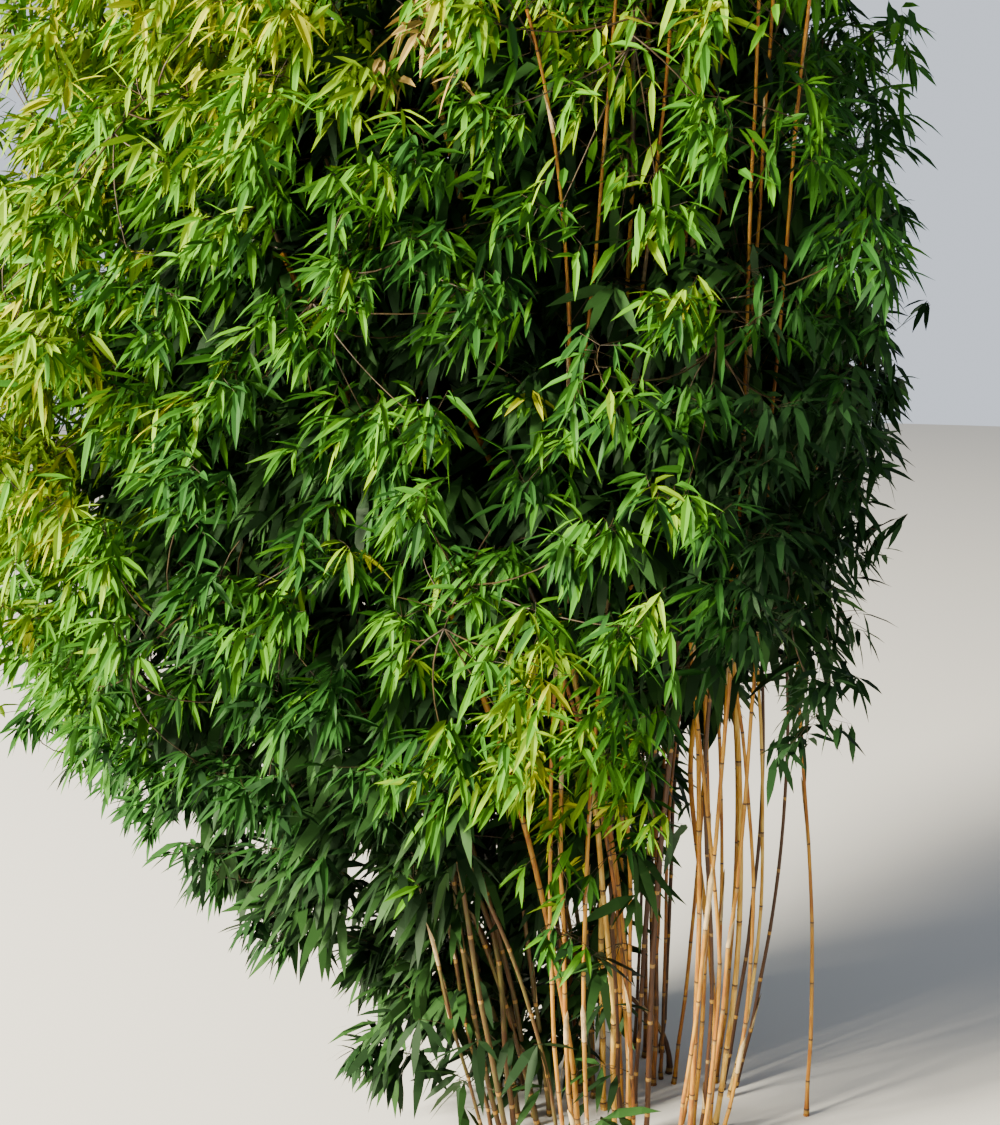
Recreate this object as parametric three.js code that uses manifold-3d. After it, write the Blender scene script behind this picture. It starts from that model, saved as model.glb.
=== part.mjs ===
// Clump-forming bamboo rooted in open ground: slender canes rise in tufts from one foot,
// fan out and arch over under a dense crown of narrow leaves that reaches furthest to the
// left. Millimetres, +Z up, the origin on the ground under the main cane, -Y the front.
import * as THREE from "three";
import { mergeVertices } from "three/addons/utils/BufferGeometryUtils.js";
import Module from "manifold-3d";

const wasm = await Module();
wasm.setup();

// The whole plant
const SEED = 11;
const PLANT_HEIGHT = 2300;
const CROWN_REACH = { left: 1080, right: 400, front: 600, back: 700 };
const CROWN_UNDERSIDE = { left: 190, right: 700, front: 740, back: 150 };
const LOWEST_LEAF = 40;
// How far the crown reaches at each height, both as shares of the largest
const CROWN_PROFILE = [
  [0.03, 0.32], [0.1, 0.47], [0.2, 0.62], [0.29, 0.85], [0.42, 0.97], [0.57, 1],
  [0.74, 0.86], [0.88, 0.6], [0.96, 0.36], [1, 0.16],
];

// The foot: tufts of canes over an oval patch of ground, closer together towards its rim
const FOOT_HALF_WIDTH = 220;
const FOOT_HALF_DEPTH = 215;
const TUFTS = 13;
const CANES_IN_TUFT = 5;
const TUFT_SPACING = 25;
const RIM_CROWDING = 0.4;
const LONE_CANE_FOOT = { x: 300, y: -20 };

// Canes: those that bear foliage, thinner bare ones between them, and a few bare ones whose
// tips stand in the open before the crown
const CANE_RADIUS = 5.2;
const BEARER_TIP_RADIUS = 4;
const BARE_TIP_RADIUS = 2;
const FLARE_RADIUS = 19;
const FLARE_HEIGHT = 36;
const CANE_SIDES = 4;
const BEARER_BENDS = [0.25, 0.5, 0.75, 1];
const BARE_BENDS = [0.4, 0.75, 1];
const RIM_LEAN = 0.22;
const LONE_CANE_LEAN = 0.03;
const LONE_CANE_TIP = [370, 10, 1250];
const CANE_SWAY = 0.12;
const BARE_TIP_HEIGHTS = [1000, 1900];
const FRONT_TIPS = [
  [145, -440, 1940], [115, -455, 1860], [185, -430, 1780], [10, -465, 1840],
  [-55, -470, 1760], [-165, -480, 1640],
];
const LIMB_CLEARANCE = 2.5;
const STEM_CLEARANCE = 16;
const CANE_TRIES = 200;

// Masses of foliage, spread evenly through the crown but not up its hollow middle
const MASSES = 40;
const CROWN_SAMPLES = 3000;
const SETTLING_ROUNDS = 30;
const HOLLOW_SHARE = 0.3;
const HOLLOW_TOP = 1500;
const CELL_MARGIN = 1.5;

// The stem that carries a mass, from 0.3 mm above its cane's tip out through the mass
const JOINT_GAP = 0.3;
const STEM_INWARD = 120;
const STEM_BELOW = 80;
const STEM_ARCH = 140;
const STEM_OUTWARD = 110;
const STEM_TIP_RADIUS = 4;
const MEAN_REACH = 1000;

// Twigs to both sides of a stem, and the leaves that fan out from every tip
const TWIG_PLACES = [0.35, 0.6, 0.84];
const TWIG_LENGTH = 105;
const TWIG_RADIUS = 1.5;
const TWIG_TIP_RADIUS = 3.2;
const ROOT_DEPTH = 3.5;
const FAN_ANGLES = [0, 55, -55];
const LEAF = { length: 235, width: 66, thickness: 3, widestAt: 0.32 };
const LEAF_DROOP = 1.25;
const LEAF_BEYOND_CROWN = 110;
const LEAF_CLEARANCE = 9;
const GROWTH_TRIES = 48;
const CORNER_SPACING = 0.006;

const GOLDEN_ANGLE = Math.PI * (3 - Math.sqrt(5));
const STEM_STATIONS = [0, ...TWIG_PLACES, 1];
const UP = new THREE.Vector3(0, 0, 1);

const radians = (degrees) => (degrees * Math.PI) / 180;
const vector = (x, y, z) => new THREE.Vector3(x, y, z);
const along = (from, direction, distance) => from.clone().addScaledVector(direction, distance);

// Numbers from 0 to 1 that are the same on every run
function seeded(seed) {
  let state = seed | 0;
  return () => {
    state = (state + 0x6d2b79f5) | 0;
    let t = Math.imul(state ^ (state >>> 15), 1 | state);
    t = (t + Math.imul(t ^ (t >>> 7), 61 | t)) ^ t;
    return ((t ^ (t >>> 14)) >>> 0) / 4294967296;
  };
}

function crownShare(z) {
  const height = Math.max(z / PLANT_HEIGHT, CROWN_PROFILE[0][0]);
  const above = CROWN_PROFILE.findIndex(([h], i) => i > 0 && height <= h);
  if (above < 0) return 0;
  const [[h0, share0], [h1, share1]] = [CROWN_PROFILE[above - 1], CROWN_PROFILE[above]];
  return share0 + ((share1 - share0) * (height - h0)) / (h1 - h0);
}

// The crown's half axes on the side of the plant that x and y point to
function reaches(x, y) {
  return [
    x < 0 ? CROWN_REACH.left : CROWN_REACH.right,
    y < 0 ? CROWN_REACH.front : CROWN_REACH.back,
  ];
}

// How far out a place lies, as a share of the crown's largest reach that way
function shareOut(x, y, beyond = 0) {
  const [reachX, reachY] = reaches(x, y);
  return Math.sqrt((x / (reachX + beyond)) ** 2 + (y / (reachY + beyond)) ** 2);
}

// Height of the crown's underside, from its own heights at the sides and at front and back
function underside(x, y) {
  const [reachX, reachY] = reaches(x, y);
  const [sideways, lengthways] = [(x / reachX) ** 2, (y / reachY) ** 2];
  const sideHeight = x < 0 ? CROWN_UNDERSIDE.left : CROWN_UNDERSIDE.right;
  const endHeight = y < 0 ? CROWN_UNDERSIDE.front : CROWN_UNDERSIDE.back;
  return (sideways * sideHeight + lengthways * endHeight) / (sideways + lengthways);
}

function inCrown(p, beyond) {
  const lowest = Math.max(underside(p.x, p.y) - beyond, LOWEST_LEAF);
  return shareOut(p.x, p.y, beyond) <= crownShare(p.z) && p.z >= lowest && p.z <= PLANT_HEIGHT;
}

function crownSamples(random) {
  const { left, right, front, back } = CROWN_REACH;
  const points = [];
  while (points.length < CROWN_SAMPLES) {
    const x = -left + (left + right) * random();
    const y = -front + (front + back) * random();
    const p = vector(x, y, PLANT_HEIGHT * random());
    const outsideHollow = shareOut(x, y) > HOLLOW_SHARE || p.z > HOLLOW_TOP;
    if (outsideHollow && inCrown(p, 0)) points.push(p);
  }
  return points;
}

// Centres that share the crown out evenly: each settles in the middle of what lies nearest it
function settledCentres() {
  const points = crownSamples(seeded(SEED));
  let centres = points.slice(0, MASSES);
  for (let round = 0; round < SETTLING_ROUNDS; round++) {
    const sums = centres.map(() => ({ p: vector(0, 0, 0), count: 0 }));
    for (const p of points) {
      const away = centres.map((centre) => centre.distanceToSquared(p));
      const nearest = sums[away.indexOf(Math.min(...away))];
      nearest.p.add(p);
      nearest.count += 1;
    }
    centres = sums.map(({ p, count }) => p.divideScalar(count));
  }
  return centres.sort((a, b) => b.z - a.z);
}

// A mass's centre and its stem, which arches outwards low down and rises near the top
function massAt(centre) {
  const outward = vector(centre.x, centre.y, 0).normalize();
  const rise = THREE.MathUtils.clamp((centre.z - 900) / 1200, -0.3, 0.9);
  const room = Math.hypot(...reaches(centre.x, centre.y)) / MEAN_REACH;
  const spread = (1 - 0.5 * Math.max(rise, 0)) * room;
  const start = along(centre, outward, -STEM_INWARD * spread);
  start.z -= STEM_BELOW * (1 + 0.3 * rise);
  const middle = centre.clone();
  middle.z += STEM_ARCH * (1 + rise);
  const end = along(centre, outward, STEM_OUTWARD * spread);
  end.z += 180 * rise - 30;
  return { centre, outward, rise, stem: new THREE.QuadraticBezierCurve3(start, middle, end) };
}

// Where canes leave the ground: each tuft has one in its middle and a ring round that
function feet() {
  const places = [];
  for (let tuft = 0; tuft < TUFTS; tuft++) {
    const share = (tuft / (TUFTS - 1)) ** RIM_CROWDING;
    const turn = tuft * GOLDEN_ANGLE;
    const x = FOOT_HALF_WIDTH * share * Math.cos(turn);
    const y = FOOT_HALF_DEPTH * share * Math.sin(turn);
    places.push({ tuft, x, y });
    for (let i = 1; i < CANES_IN_TUFT; i++) {
      const round = turn + (2 * Math.PI * i) / (CANES_IN_TUFT - 1);
      const [dx, dy] = [TUFT_SPACING * Math.cos(round), TUFT_SPACING * Math.sin(round)];
      places.push({ tuft, x: x + dx, y: y + dy });
    }
  }
  places.push({ tuft: TUFTS, ...LONE_CANE_FOOT });
  return places;
}

// The free cane whose foot lies best towards a tip at x and y
function bestFoot(places, x, y) {
  const [reachX, reachY] = reaches(x, y);
  const wanted = vector((FOOT_HALF_WIDTH * x) / reachX, (FOOT_HALF_DEPTH * y) / reachY, 0);
  const free = places.filter((place) => !place.mass && !place.tip);
  const away = free.map((place) => wanted.distanceTo(vector(place.x, place.y, 0)));
  return free[away.indexOf(Math.min(...away))];
}

// Gives each mass, from the top down, and each bare tip in front a cane of its own
function matchFeet(places, masses) {
  places.at(-1).tip = vector(...LONE_CANE_TIP);
  for (const mass of masses) bestFoot(places, mass.stem.v0.x, mass.stem.v0.y).mass = mass;
  for (const [x, y, z] of FRONT_TIPS) bestFoot(places, x, y).tip = vector(x, y, z);
}

// A tip inside the crown on the same side of the plant as the cane's foot
function bareTip(place, random) {
  const [low, high] = BARE_TIP_HEIGHTS;
  const z = low + (high - low) * random();
  const turn = Math.atan2(place.y / FOOT_HALF_DEPTH, place.x / FOOT_HALF_WIDTH);
  const angle = turn + 0.5 * (random() - 0.5);
  const [reachX, reachY] = reaches(Math.cos(angle), Math.sin(angle));
  const share = crownShare(z) * (0.3 + 0.35 * random());
  return vector(reachX * share * Math.cos(angle), reachY * share * Math.sin(angle), z);
}

// A cane leans out as it leaves the ground, then bends to reach its tip in the right direction
function caneCurve(place, random, freedom) {
  const sway = () => freedom * (random() - 0.5);
  const foot = vector(place.x, place.y, 0);
  const rimLean = place.tuft === TUFTS ? LONE_CANE_LEAN : RIM_LEAN;
  const lean = vector(
    (rimLean * place.x) / FOOT_HALF_WIDTH + sway(),
    (rimLean * place.y) / FOOT_HALF_DEPTH + sway(),
    1,
  );
  const tip = place.mass ? place.mass.stem.v0 : place.tip ?? bareTip(place, random);
  const arrival = place.mass ? place.mass.stem.v1.clone().sub(tip) : vector(tip.x, tip.y, 900);
  arrival.normalize().add(vector(3 * sway(), 3 * sway(), 0));
  const length = tip.distanceTo(foot);
  return new THREE.CubicBezierCurve3(
    foot,
    along(foot, lean, (0.42 + 0.1 * random()) * length),
    along(tip, arrival, -(0.26 + 0.08 * random()) * length),
    tip,
  );
}

// The straight pieces that a limb is made of: its points, and its radius at each
function lineOf(curve, radiusAt, stations) {
  return stations.map((t) => ({ p: curve.getPoint(t), r: radiusAt(t) }));
}

// Shortest distance between the straight pieces a0-a1 and b0-b1
function pieceDistance(a0, a1, b0, b1) {
  const [u, v, w] = [a1.clone().sub(a0), b1.clone().sub(b0), a0.clone().sub(b0)];
  const [uu, uv, vv, uw, vw] = [u.dot(u), u.dot(v), v.dot(v), u.dot(w), v.dot(w)];
  const crossing = uu * vv - uv * uv;
  const clamp = (share) => THREE.MathUtils.clamp(share, 0, 1);
  const first = crossing > 1e-9 ? clamp((uv * vw - vv * uw) / crossing) : 0;
  const t = clamp((uv * first + vw) / vv);
  const s = clamp((uv * t - uw) / uu);
  return w.addScaledVector(u, s).addScaledVector(v, -t).length();
}

function tooClose(line, others, clearance) {
  for (const other of others)
    for (let i = 1; i < line.length; i++)
      for (let j = 1; j < other.length; j++) {
        const [a0, a1, b0, b1] = [line[i - 1], line[i], other[j - 1], other[j]];
        const room = Math.max(a0.r, a1.r) + Math.max(b0.r, b1.r) + clearance;
        const reach = a0.p.distanceTo(a1.p) + b0.p.distanceTo(b1.p) + room;
        if (a0.p.distanceTo(b0.p) > reach) continue;
        if (pieceDistance(a0.p, a1.p, b0.p, b1.p) < room) return true;
      }
  return false;
}

// Every cane, clear of all the stems and of the canes before it
function growCanes(masses) {
  const places = feet();
  matchFeet(places, masses);
  const random = seeded(SEED + 1);
  const lines = [];
  return places.map((place) => {
    const stems = masses
      .filter((mass) => mass !== place.mass)
      .map(({ stem }) => lineOf(stem, () => STEM_CLEARANCE, STEM_STATIONS));
    const tipRadius = place.mass ? BEARER_TIP_RADIUS : BARE_TIP_RADIUS;
    const radiusAt = (t) => CANE_RADIUS + (tipRadius - CANE_RADIUS) * t;
    for (let attempt = 0; attempt < CANE_TRIES; attempt++) {
      const curve = caneCurve(place, random, CANE_SWAY + 0.002 * attempt);
      const flareTop = FLARE_HEIGHT / (3 * curve.v0.distanceTo(curve.v1));
      const stations = [0, flareTop, ...(place.mass ? BEARER_BENDS : BARE_BENDS)];
      const line = lineOf(curve, radiusAt, stations);
      if (tooClose(line, [...lines, ...stems], LIMB_CLEARANCE)) continue;
      lines.push(line);
      return { ...place, curve, radiusAt, stations, line };
    }
    throw new Error(`no clear way up for a cane of tuft ${place.tuft + 1}`);
  });
}

// A cylinder bent along a curve, its radius changing; its first end faces along `facing`
function limbGeometry(curve, radiusAt, sides, stations, facing) {
  const bends = stations.length - 1;
  const geometry = new THREE.CylinderGeometry(1, 1, 1, sides, bends);
  let across = vector(1, 0, 0);
  const rings = stations.map((t) => {
    const forward = t === 0 ? facing.clone() : curve.getTangent(t);
    across = along(across, forward, -across.dot(forward));
    if (across.length() < 0.03) across = along(vector(0, 1, 0), forward, -forward.y);
    across.normalize();
    return { centre: curve.getPoint(t), across, beside: forward.cross(across), radius: radiusAt(t) };
  });
  const position = geometry.getAttribute("position");
  for (let i = 0; i < position.count; i++) {
    const ring = rings[Math.round((0.5 + position.getY(i)) * bends)];
    const moved = ring.centre
      .clone()
      .addScaledVector(ring.across, position.getX(i) * ring.radius)
      .addScaledVector(ring.beside, -position.getZ(i) * ring.radius);
    position.setXYZ(i, moved.x, moved.y, moved.z);
  }
  return geometry;
}

function caneGeometry({ curve, radiusAt, stations }) {
  const flared = (t) => (t === 0 ? FLARE_RADIUS : radiusAt(t));
  return limbGeometry(curve, flared, CANE_SIDES, stations, UP);
}

// A leaf: a flat lozenge of eight faces
function leafGeometry({ root, direction, across, size }) {
  const geometry = new THREE.OctahedronGeometry(1, 0);
  const normal = direction.clone().cross(across);
  const position = geometry.getAttribute("position");
  for (let i = 0; i < position.count; i++) {
    const end = position.getX(i);
    const share = Math.abs(end) < 0.5 ? LEAF.widestAt : (end + 1) / 2;
    const moved = along(root, direction, share * LEAF.length * size)
      .addScaledVector(across, (position.getY(i) * LEAF.width * size) / 2)
      .addScaledVector(normal, (position.getZ(i) * LEAF.thickness * size) / 2);
    position.setXYZ(i, moved.x, moved.y, moved.z);
  }
  return geometry;
}

// A closed geometry as a solid that can be joined to others
function solidOf(geometry) {
  geometry.deleteAttribute("normal");
  geometry.deleteAttribute("uv");
  const merged = mergeVertices(geometry, 1e-3);
  const vertProperties = merged.getAttribute("position").array;
  const triVerts = new Uint32Array(merged.index.array);
  const solid = new wasm.Manifold(new wasm.Mesh({ numProp: 3, vertProperties, triVerts }));
  if (solid.volume() > 0) return solid;
  const flipped = triVerts.map((_, i) => triVerts[i - (i % 3) + [0, 2, 1][i % 3]]);
  return new wasm.Manifold(new wasm.Mesh({ numProp: 3, vertProperties, triVerts: flipped }));
}

function fused(geometries) {
  return geometries.map(solidOf).reduce((whole, piece) => whole.add(piece));
}

function meshOf(name, solid, material) {
  const { vertProperties, triVerts } = solid.getMesh();
  const geometry = new THREE.BufferGeometry();
  geometry.setAttribute("position", new THREE.BufferAttribute(vertProperties, 3));
  geometry.setIndex(new THREE.BufferAttribute(triVerts, 1));
  geometry.computeVertexNormals();
  const mesh = new THREE.Mesh(geometry, material);
  mesh.name = name;
  return mesh;
}

// True where a place is in the crown and nearer to its own mass than to any other
function inCell(p, beyond, own, masses) {
  const near = p.distanceTo(own.centre) + CELL_MARGIN;
  return inCrown(p, beyond) && masses.every((m) => m === own || p.distanceTo(m.centre) > near);
}

// A leaf on a tip, drooping to one side of the heading, or nothing if it doesn't fit
function growLeaf(root, heading, turn, crown, random) {
  for (let attempt = 0; attempt < GROWTH_TRIES; attempt++) {
    const size = 1.08 - 0.2 * random() - (0.3 * attempt) / GROWTH_TRIES;
    const direction = heading.clone().applyAxisAngle(UP, turn + radians(60 * (random() - 0.5)));
    direction.z -= LEAF_DROOP * (0.4 + random());
    direction.normalize();
    const roll = radians(70 * (random() - 0.5));
    const across = direction.clone().cross(UP).normalize().applyAxisAngle(direction, roll);
    const at = (share) => along(root, direction, share * LEAF.length * size);
    const [near, belly, tip] = [at(0.06), at(LEAF.widestAt), at(1)];
    const half = (LEAF.width * size) / 2;
    const corners = [along(belly, across, half), along(belly, across, -half), tip];
    if (!corners.every((p) => inCell(p, LEAF_BEYOND_CROWN, crown.mass, crown.masses))) continue;
    const blade = [{ p: near, r: LEAF_CLEARANCE }, { p: belly, r: half }, { p: tip, r: 0 }];
    if (tooClose(blade, crown.limbs, 1)) continue;
    const rib = blade.map(({ p }) => ({ p, r: LEAF_CLEARANCE }));
    if (tooClose(rib.slice(1), crown.grown, 0)) continue;
    crown.grown.push(rib);
    crown.pieces.push(leafGeometry({ root, direction, across, size }));
    return;
  }
}

// A fan of leaves rooted just inside the tip of a limb
function growFan(from, tip, heading, crown, random) {
  const root = along(tip, tip.clone().sub(from).normalize(), -ROOT_DEPTH);
  for (const angle of FAN_ANGLES) growLeaf(root, heading, radians(angle), crown, random);
}

function growTwig(place, side, crown, random) {
  const { outward, rise } = crown.mass;
  for (let attempt = 0; attempt < GROWTH_TRIES; attempt++) {
    const heading = outward.clone().applyAxisAngle(UP, side * radians(35 + 90 * random()));
    const length = TWIG_LENGTH * (1.2 - 0.3 * random() - (0.5 * attempt) / GROWTH_TRIES);
    const from = crown.stem.getPoint(place);
    const tip = along(from, heading, length);
    tip.z += length * (0.35 * rise + 0.7 * (random() - 0.4));
    const twig = new THREE.LineCurve3(from, tip);
    const radiusAt = (t) => TWIG_RADIUS + (TWIG_TIP_RADIUS - TWIG_RADIUS) * t;
    const line = lineOf(twig, radiusAt, [0, 0.3, 1]);
    const outer = line.slice(1);
    if (!outer.every(({ p }) => inCell(p, 0, crown.mass, crown.masses))) continue;
    if (tooClose(outer, crown.limbs, 1) || tooClose(outer, crown.grown, 0)) continue;
    crown.grown.push(line);
    crown.pieces.push(limbGeometry(twig, radiusAt, 3, [0, 1], heading));
    growFan(from, tip, heading, crown, random);
    return;
  }
}

// One mass: its stem, twigs to both sides of it in turn, and a fan of leaves on every tip
function massSolid(mass, masses, canes, random) {
  const own = canes.find((cane) => cane.mass === mass);
  const facing = own.curve.getTangent(1);
  const start = along(mass.stem.v0, facing, JOINT_GAP);
  const stem = new THREE.QuadraticBezierCurve3(start, mass.stem.v1, mass.stem.v2);
  const radiusAt = (t) => BEARER_TIP_RADIUS + (STEM_TIP_RADIUS - BEARER_TIP_RADIUS) * t;
  const crown = {
    mass,
    masses,
    stem,
    limbs: canes.map((cane) => (cane === own ? cane.line.slice(0, -1) : cane.line)),
    grown: [lineOf(stem, radiusAt, STEM_STATIONS)],
    pieces: [limbGeometry(stem, radiusAt, 3, STEM_STATIONS, facing)],
  };
  growFan(stem.getPoint(TWIG_PLACES.at(-1)), stem.v2, mass.outward, crown, random);
  TWIG_PLACES.forEach((place, i) => growTwig(place, i % 2 ? 1 : -1, crown, random));
  return largestBody(fused(crown.pieces));
}

function largestBody(solid) {
  return solid.decompose().reduce((a, b) => (a.volume() > b.volume() ? a : b));
}

// Distance between the two corners of a solid that lie closest together
function closestCorners(solid) {
  const { numVert, vertProperties } = solid.getMesh();
  const corner = (_, i) => vector(0, 0, 0).fromArray(vertProperties, 3 * i);
  const corners = Array.from({ length: numVert }, corner);
  let closest = Infinity;
  for (let i = 0; i < numVert; i++)
    for (let j = 0; j < i; j++) closest = Math.min(closest, corners[i].distanceTo(corners[j]));
  return closest;
}

// A mass with corners too close to keep apart is grown again from the next seed
function soundMass(index, masses, canes) {
  for (let again = 0; again < GROWTH_TRIES; again++) {
    const random = seeded(SEED + 100 + index + 1000 * again);
    const solid = massSolid(masses[index], masses, canes, random);
    if (closestCorners(solid) > CORNER_SPACING) return solid;
  }
  throw new Error(`foliage mass ${index + 1} has no sound solid`);
}

const caneMaterial = () => new THREE.MeshStandardMaterial({ color: 0xb07a3a, roughness: 0.45 });
const leafMaterial = () => new THREE.MeshStandardMaterial({ color: 0x4f8a2a, roughness: 0.55 });

const plant = new THREE.Group();
const masses = settledCentres().map(massAt);
const canes = growCanes(masses);
const numbered = (name, index) => `${name}_${String(index + 1).padStart(2, "0")}`;

for (let tuft = 0; tuft < TUFTS; tuft++) {
  const geometries = canes.filter((cane) => cane.tuft === tuft).map(caneGeometry);
  plant.add(meshOf(numbered("cane_tuft", tuft), fused(geometries), caneMaterial()));
}
plant.add(meshOf("lone_cane", solidOf(caneGeometry(canes.at(-1))), caneMaterial()));

masses.forEach((_, i) => {
  plant.add(meshOf(numbered("foliage", i), soundMass(i, masses, canes), leafMaterial()));
});

export default plant;
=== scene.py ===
# Looks of a clump of garden bamboo. Its canes get ringed joints and papery sheaths, and its
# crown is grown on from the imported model's limbs by that model's own rule, down to the leaves.
# Metres, +Z up, the origin on the ground under the main cane, -Y the front.
import functools
import math
from collections import namedtuple

import bpy
import numpy as np
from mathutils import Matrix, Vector


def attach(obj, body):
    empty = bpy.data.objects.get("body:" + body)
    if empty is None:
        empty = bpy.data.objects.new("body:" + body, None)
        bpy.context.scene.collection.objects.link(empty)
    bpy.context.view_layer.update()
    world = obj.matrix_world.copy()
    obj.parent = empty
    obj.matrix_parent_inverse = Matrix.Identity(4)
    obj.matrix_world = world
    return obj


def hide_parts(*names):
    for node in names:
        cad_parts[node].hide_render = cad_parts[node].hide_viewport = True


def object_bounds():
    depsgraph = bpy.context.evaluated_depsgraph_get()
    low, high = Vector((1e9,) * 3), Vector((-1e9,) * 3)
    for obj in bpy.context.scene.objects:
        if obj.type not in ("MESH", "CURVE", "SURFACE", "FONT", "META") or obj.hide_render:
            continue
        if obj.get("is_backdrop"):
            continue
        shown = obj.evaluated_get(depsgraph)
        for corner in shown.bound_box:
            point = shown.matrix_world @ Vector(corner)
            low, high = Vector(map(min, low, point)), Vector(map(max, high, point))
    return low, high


bl_info = {
    "name": "Garden Bamboo",
    "version": (1, 0, 0),
    "blender": (4, 5, 0),
    "location": "View3D > Sidebar > Bamboo",
    "description": "Dresses the frame of a clump of bamboo with canes, sheaths, twigs and leaves",
    "category": "Add Mesh",
}

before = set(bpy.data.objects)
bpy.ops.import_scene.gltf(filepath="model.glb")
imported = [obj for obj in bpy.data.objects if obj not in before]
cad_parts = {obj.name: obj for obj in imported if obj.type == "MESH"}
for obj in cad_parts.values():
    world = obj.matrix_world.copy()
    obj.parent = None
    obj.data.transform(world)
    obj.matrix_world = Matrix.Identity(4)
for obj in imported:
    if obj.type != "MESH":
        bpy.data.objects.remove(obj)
PACKED_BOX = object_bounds()
LOWEST_PACKED, HIGHEST_PACKED = (np.array(corner) for corner in PACKED_BOX)
BOX_MARGIN = 1e-4
FOLIAGE_NODES = sorted(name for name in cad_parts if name.startswith("foliage_"))

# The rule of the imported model, with its sizes in metres
SEED = 11
PLANT_HEIGHT = 2.3
CROWN_REACH = {"left": 1.08, "right": 0.4, "front": 0.6, "back": 0.7}
CROWN_LOW = np.array([-CROWN_REACH["left"], -CROWN_REACH["front"], 0])
CROWN_HIGH = np.array([CROWN_REACH["right"], CROWN_REACH["back"], PLANT_HEIGHT])
CROWN_UNDERSIDE = {"left": 0.19, "right": 0.7, "front": 0.74, "back": 0.15}
LOWEST_LEAF = 0.04
CROWN_PROFILE = [
    (0.03, 0.32), (0.1, 0.47), (0.2, 0.62), (0.29, 0.85), (0.42, 0.97), (0.57, 1),
    (0.74, 0.86), (0.88, 0.6), (0.96, 0.36), (1, 0.16),
]
FOOT_HALF_WIDTH = 0.22
FOOT_HALF_DEPTH = 0.215
TUFTS = 13
CANES_IN_TUFT = 5
TUFT_SPACING = 0.025
RIM_CROWDING = 0.4
LONE_CANE_FOOT = (0.3, -0.02)
CANE_RADIUS = 0.0052
BEARER_TIP_RADIUS = 0.004
BARE_TIP_RADIUS = 0.002
FLARE_HEIGHT = 0.036
BEARER_BENDS = [0.25, 0.5, 0.75, 1]
BARE_BENDS = [0.4, 0.75, 1]
RIM_LEAN = 0.22
LONE_CANE_LEAN = 0.03
LONE_CANE_TIP = (0.37, 0.01, 1.25)
CANE_SWAY = 0.12
SWAY_ADDED = 0.002
BARE_TIP_HEIGHTS = (1.0, 1.9)
BARE_TIP_TURN = 0.5
BARE_TIP_RISE = 0.9
ARRIVAL_SWAY = 3
FRONT_TIPS = [
    (0.145, -0.44, 1.94), (0.115, -0.455, 1.86), (0.185, -0.43, 1.78), (0.01, -0.465, 1.84),
    (-0.055, -0.47, 1.76), (-0.165, -0.48, 1.64),
]
LIMB_CLEARANCE = 0.0025
STEM_CLEARANCE = 0.016
CANE_TRIES = 200
MASSES = 40
CROWN_SAMPLES = 3000
SETTLING_ROUNDS = 30
HOLLOW_SHARE = 0.3
HOLLOW_TOP = 1.5
STEM_INWARD = 0.12
STEM_BELOW = 0.08
STEM_ARCH = 0.14
STEM_OUTWARD = 0.11
MEAN_REACH = 1.0
RISE_FROM = 0.9
RISE_OVER = 1.2
RISES = (-0.3, 0.9)
NARROWED_BY_RISE = 0.5
START_DROP = 0.3
END_RISE = 0.18
END_DROP = 0.03
TWIG_PLACES = [0.35, 0.6, 0.84]
STEM_STATIONS = [0, *TWIG_PLACES, 1]

# The least of each, and what chance adds at most: how far out a bare tip stands, as a share of
# the crown, and how far from its ends a cane bends, as a share of its length
BARE_TIP_OUT = (0.3, 0.35)
LOW_BEND = (0.42, 0.1)
HIGH_BEND = (0.26, 0.08)

# How the finer growth goes on from there: the sprays on a bough and on a twig, how limbs bend,
# and what they are made of, with the girth at both ends of each
BOUGH_SHARE = 24
TWIG_SHARE = 6.5
FEWEST_SPRAYS = 6
FINE_ROUNDS = 6
LONGEST_BOUGH = 0.36
BOUGHS_FROM = 0.85
TOWARDS_END = 1.2
BEND_ROOM = 0.03
BEND_AT = 0.45
BOUGH_ARCH = 0.08
BOUGH_WANDER = 0.12
TWIG_ARCH = 0.14
STEMS_FROM = -0.01
STEM_POINTS = 12
BOUGH_POINTS = 7
TWIG_POINTS = 5
STEM_RADII = (BEARER_TIP_RADIUS, 0.001)
BOUGH_TAPER = (1, 0.45)
TWIG_TAPER = (0.55, 0.36)
TWIGLET_TAPER = (0.34, 0.2)
LEAVES_ON_SPRAY = (3, 6)

# How sprays gather in clumps, and how far clumps stand in, out or hang from an even crown
BOUGH_PULL = (0.08, 0.46)
BOUGH_DEPTHS = (-0.12, 0.04)
HANG = 0.2
HANG_RARITY = 1.8
HANG_WITHIN = 0.14
HANG_BETWEEN = (-0.45, 0.02)
LOWEST_HANG = 0.12

# Where sprays are fewer: in the crown's middle, all over but on its left, at its right edge, in
# its lowest layer on the right and in front of the foremost canes
TOP_LAYER = 0.15
MIDDLE_KEPT = 0.4
MIDDLE_DEPTHS = (0.5, 0.9)
MIDDLE_FALL = 1.5
OFF_LEFT_KEPT = 0.78
LEFT_FROM = (-0.5, -0.7)
RIGHT_THINNED = 0.35
RIGHT_FROM = (0.2, 0.35)
BARE_SKIRT = 0.16
SKIRT_DEEPENED = 0.32
SKIRT_DEEPENED_FROM = (0.24, 0.44)
SKIRT_FADES = (1.4, 0.4)
SKIRT_RIGHT_OF = (-0.04, 0.04)
SKIRT_THINNED = 0.92
OPEN_BESIDE = 0.013
OPEN_BEHIND = 0.02
OPEN_SLANT = 0.2
OPEN_FROM = 1.2
OPEN_STATIONS = 100
OPEN_SHARE = 0.78

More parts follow.
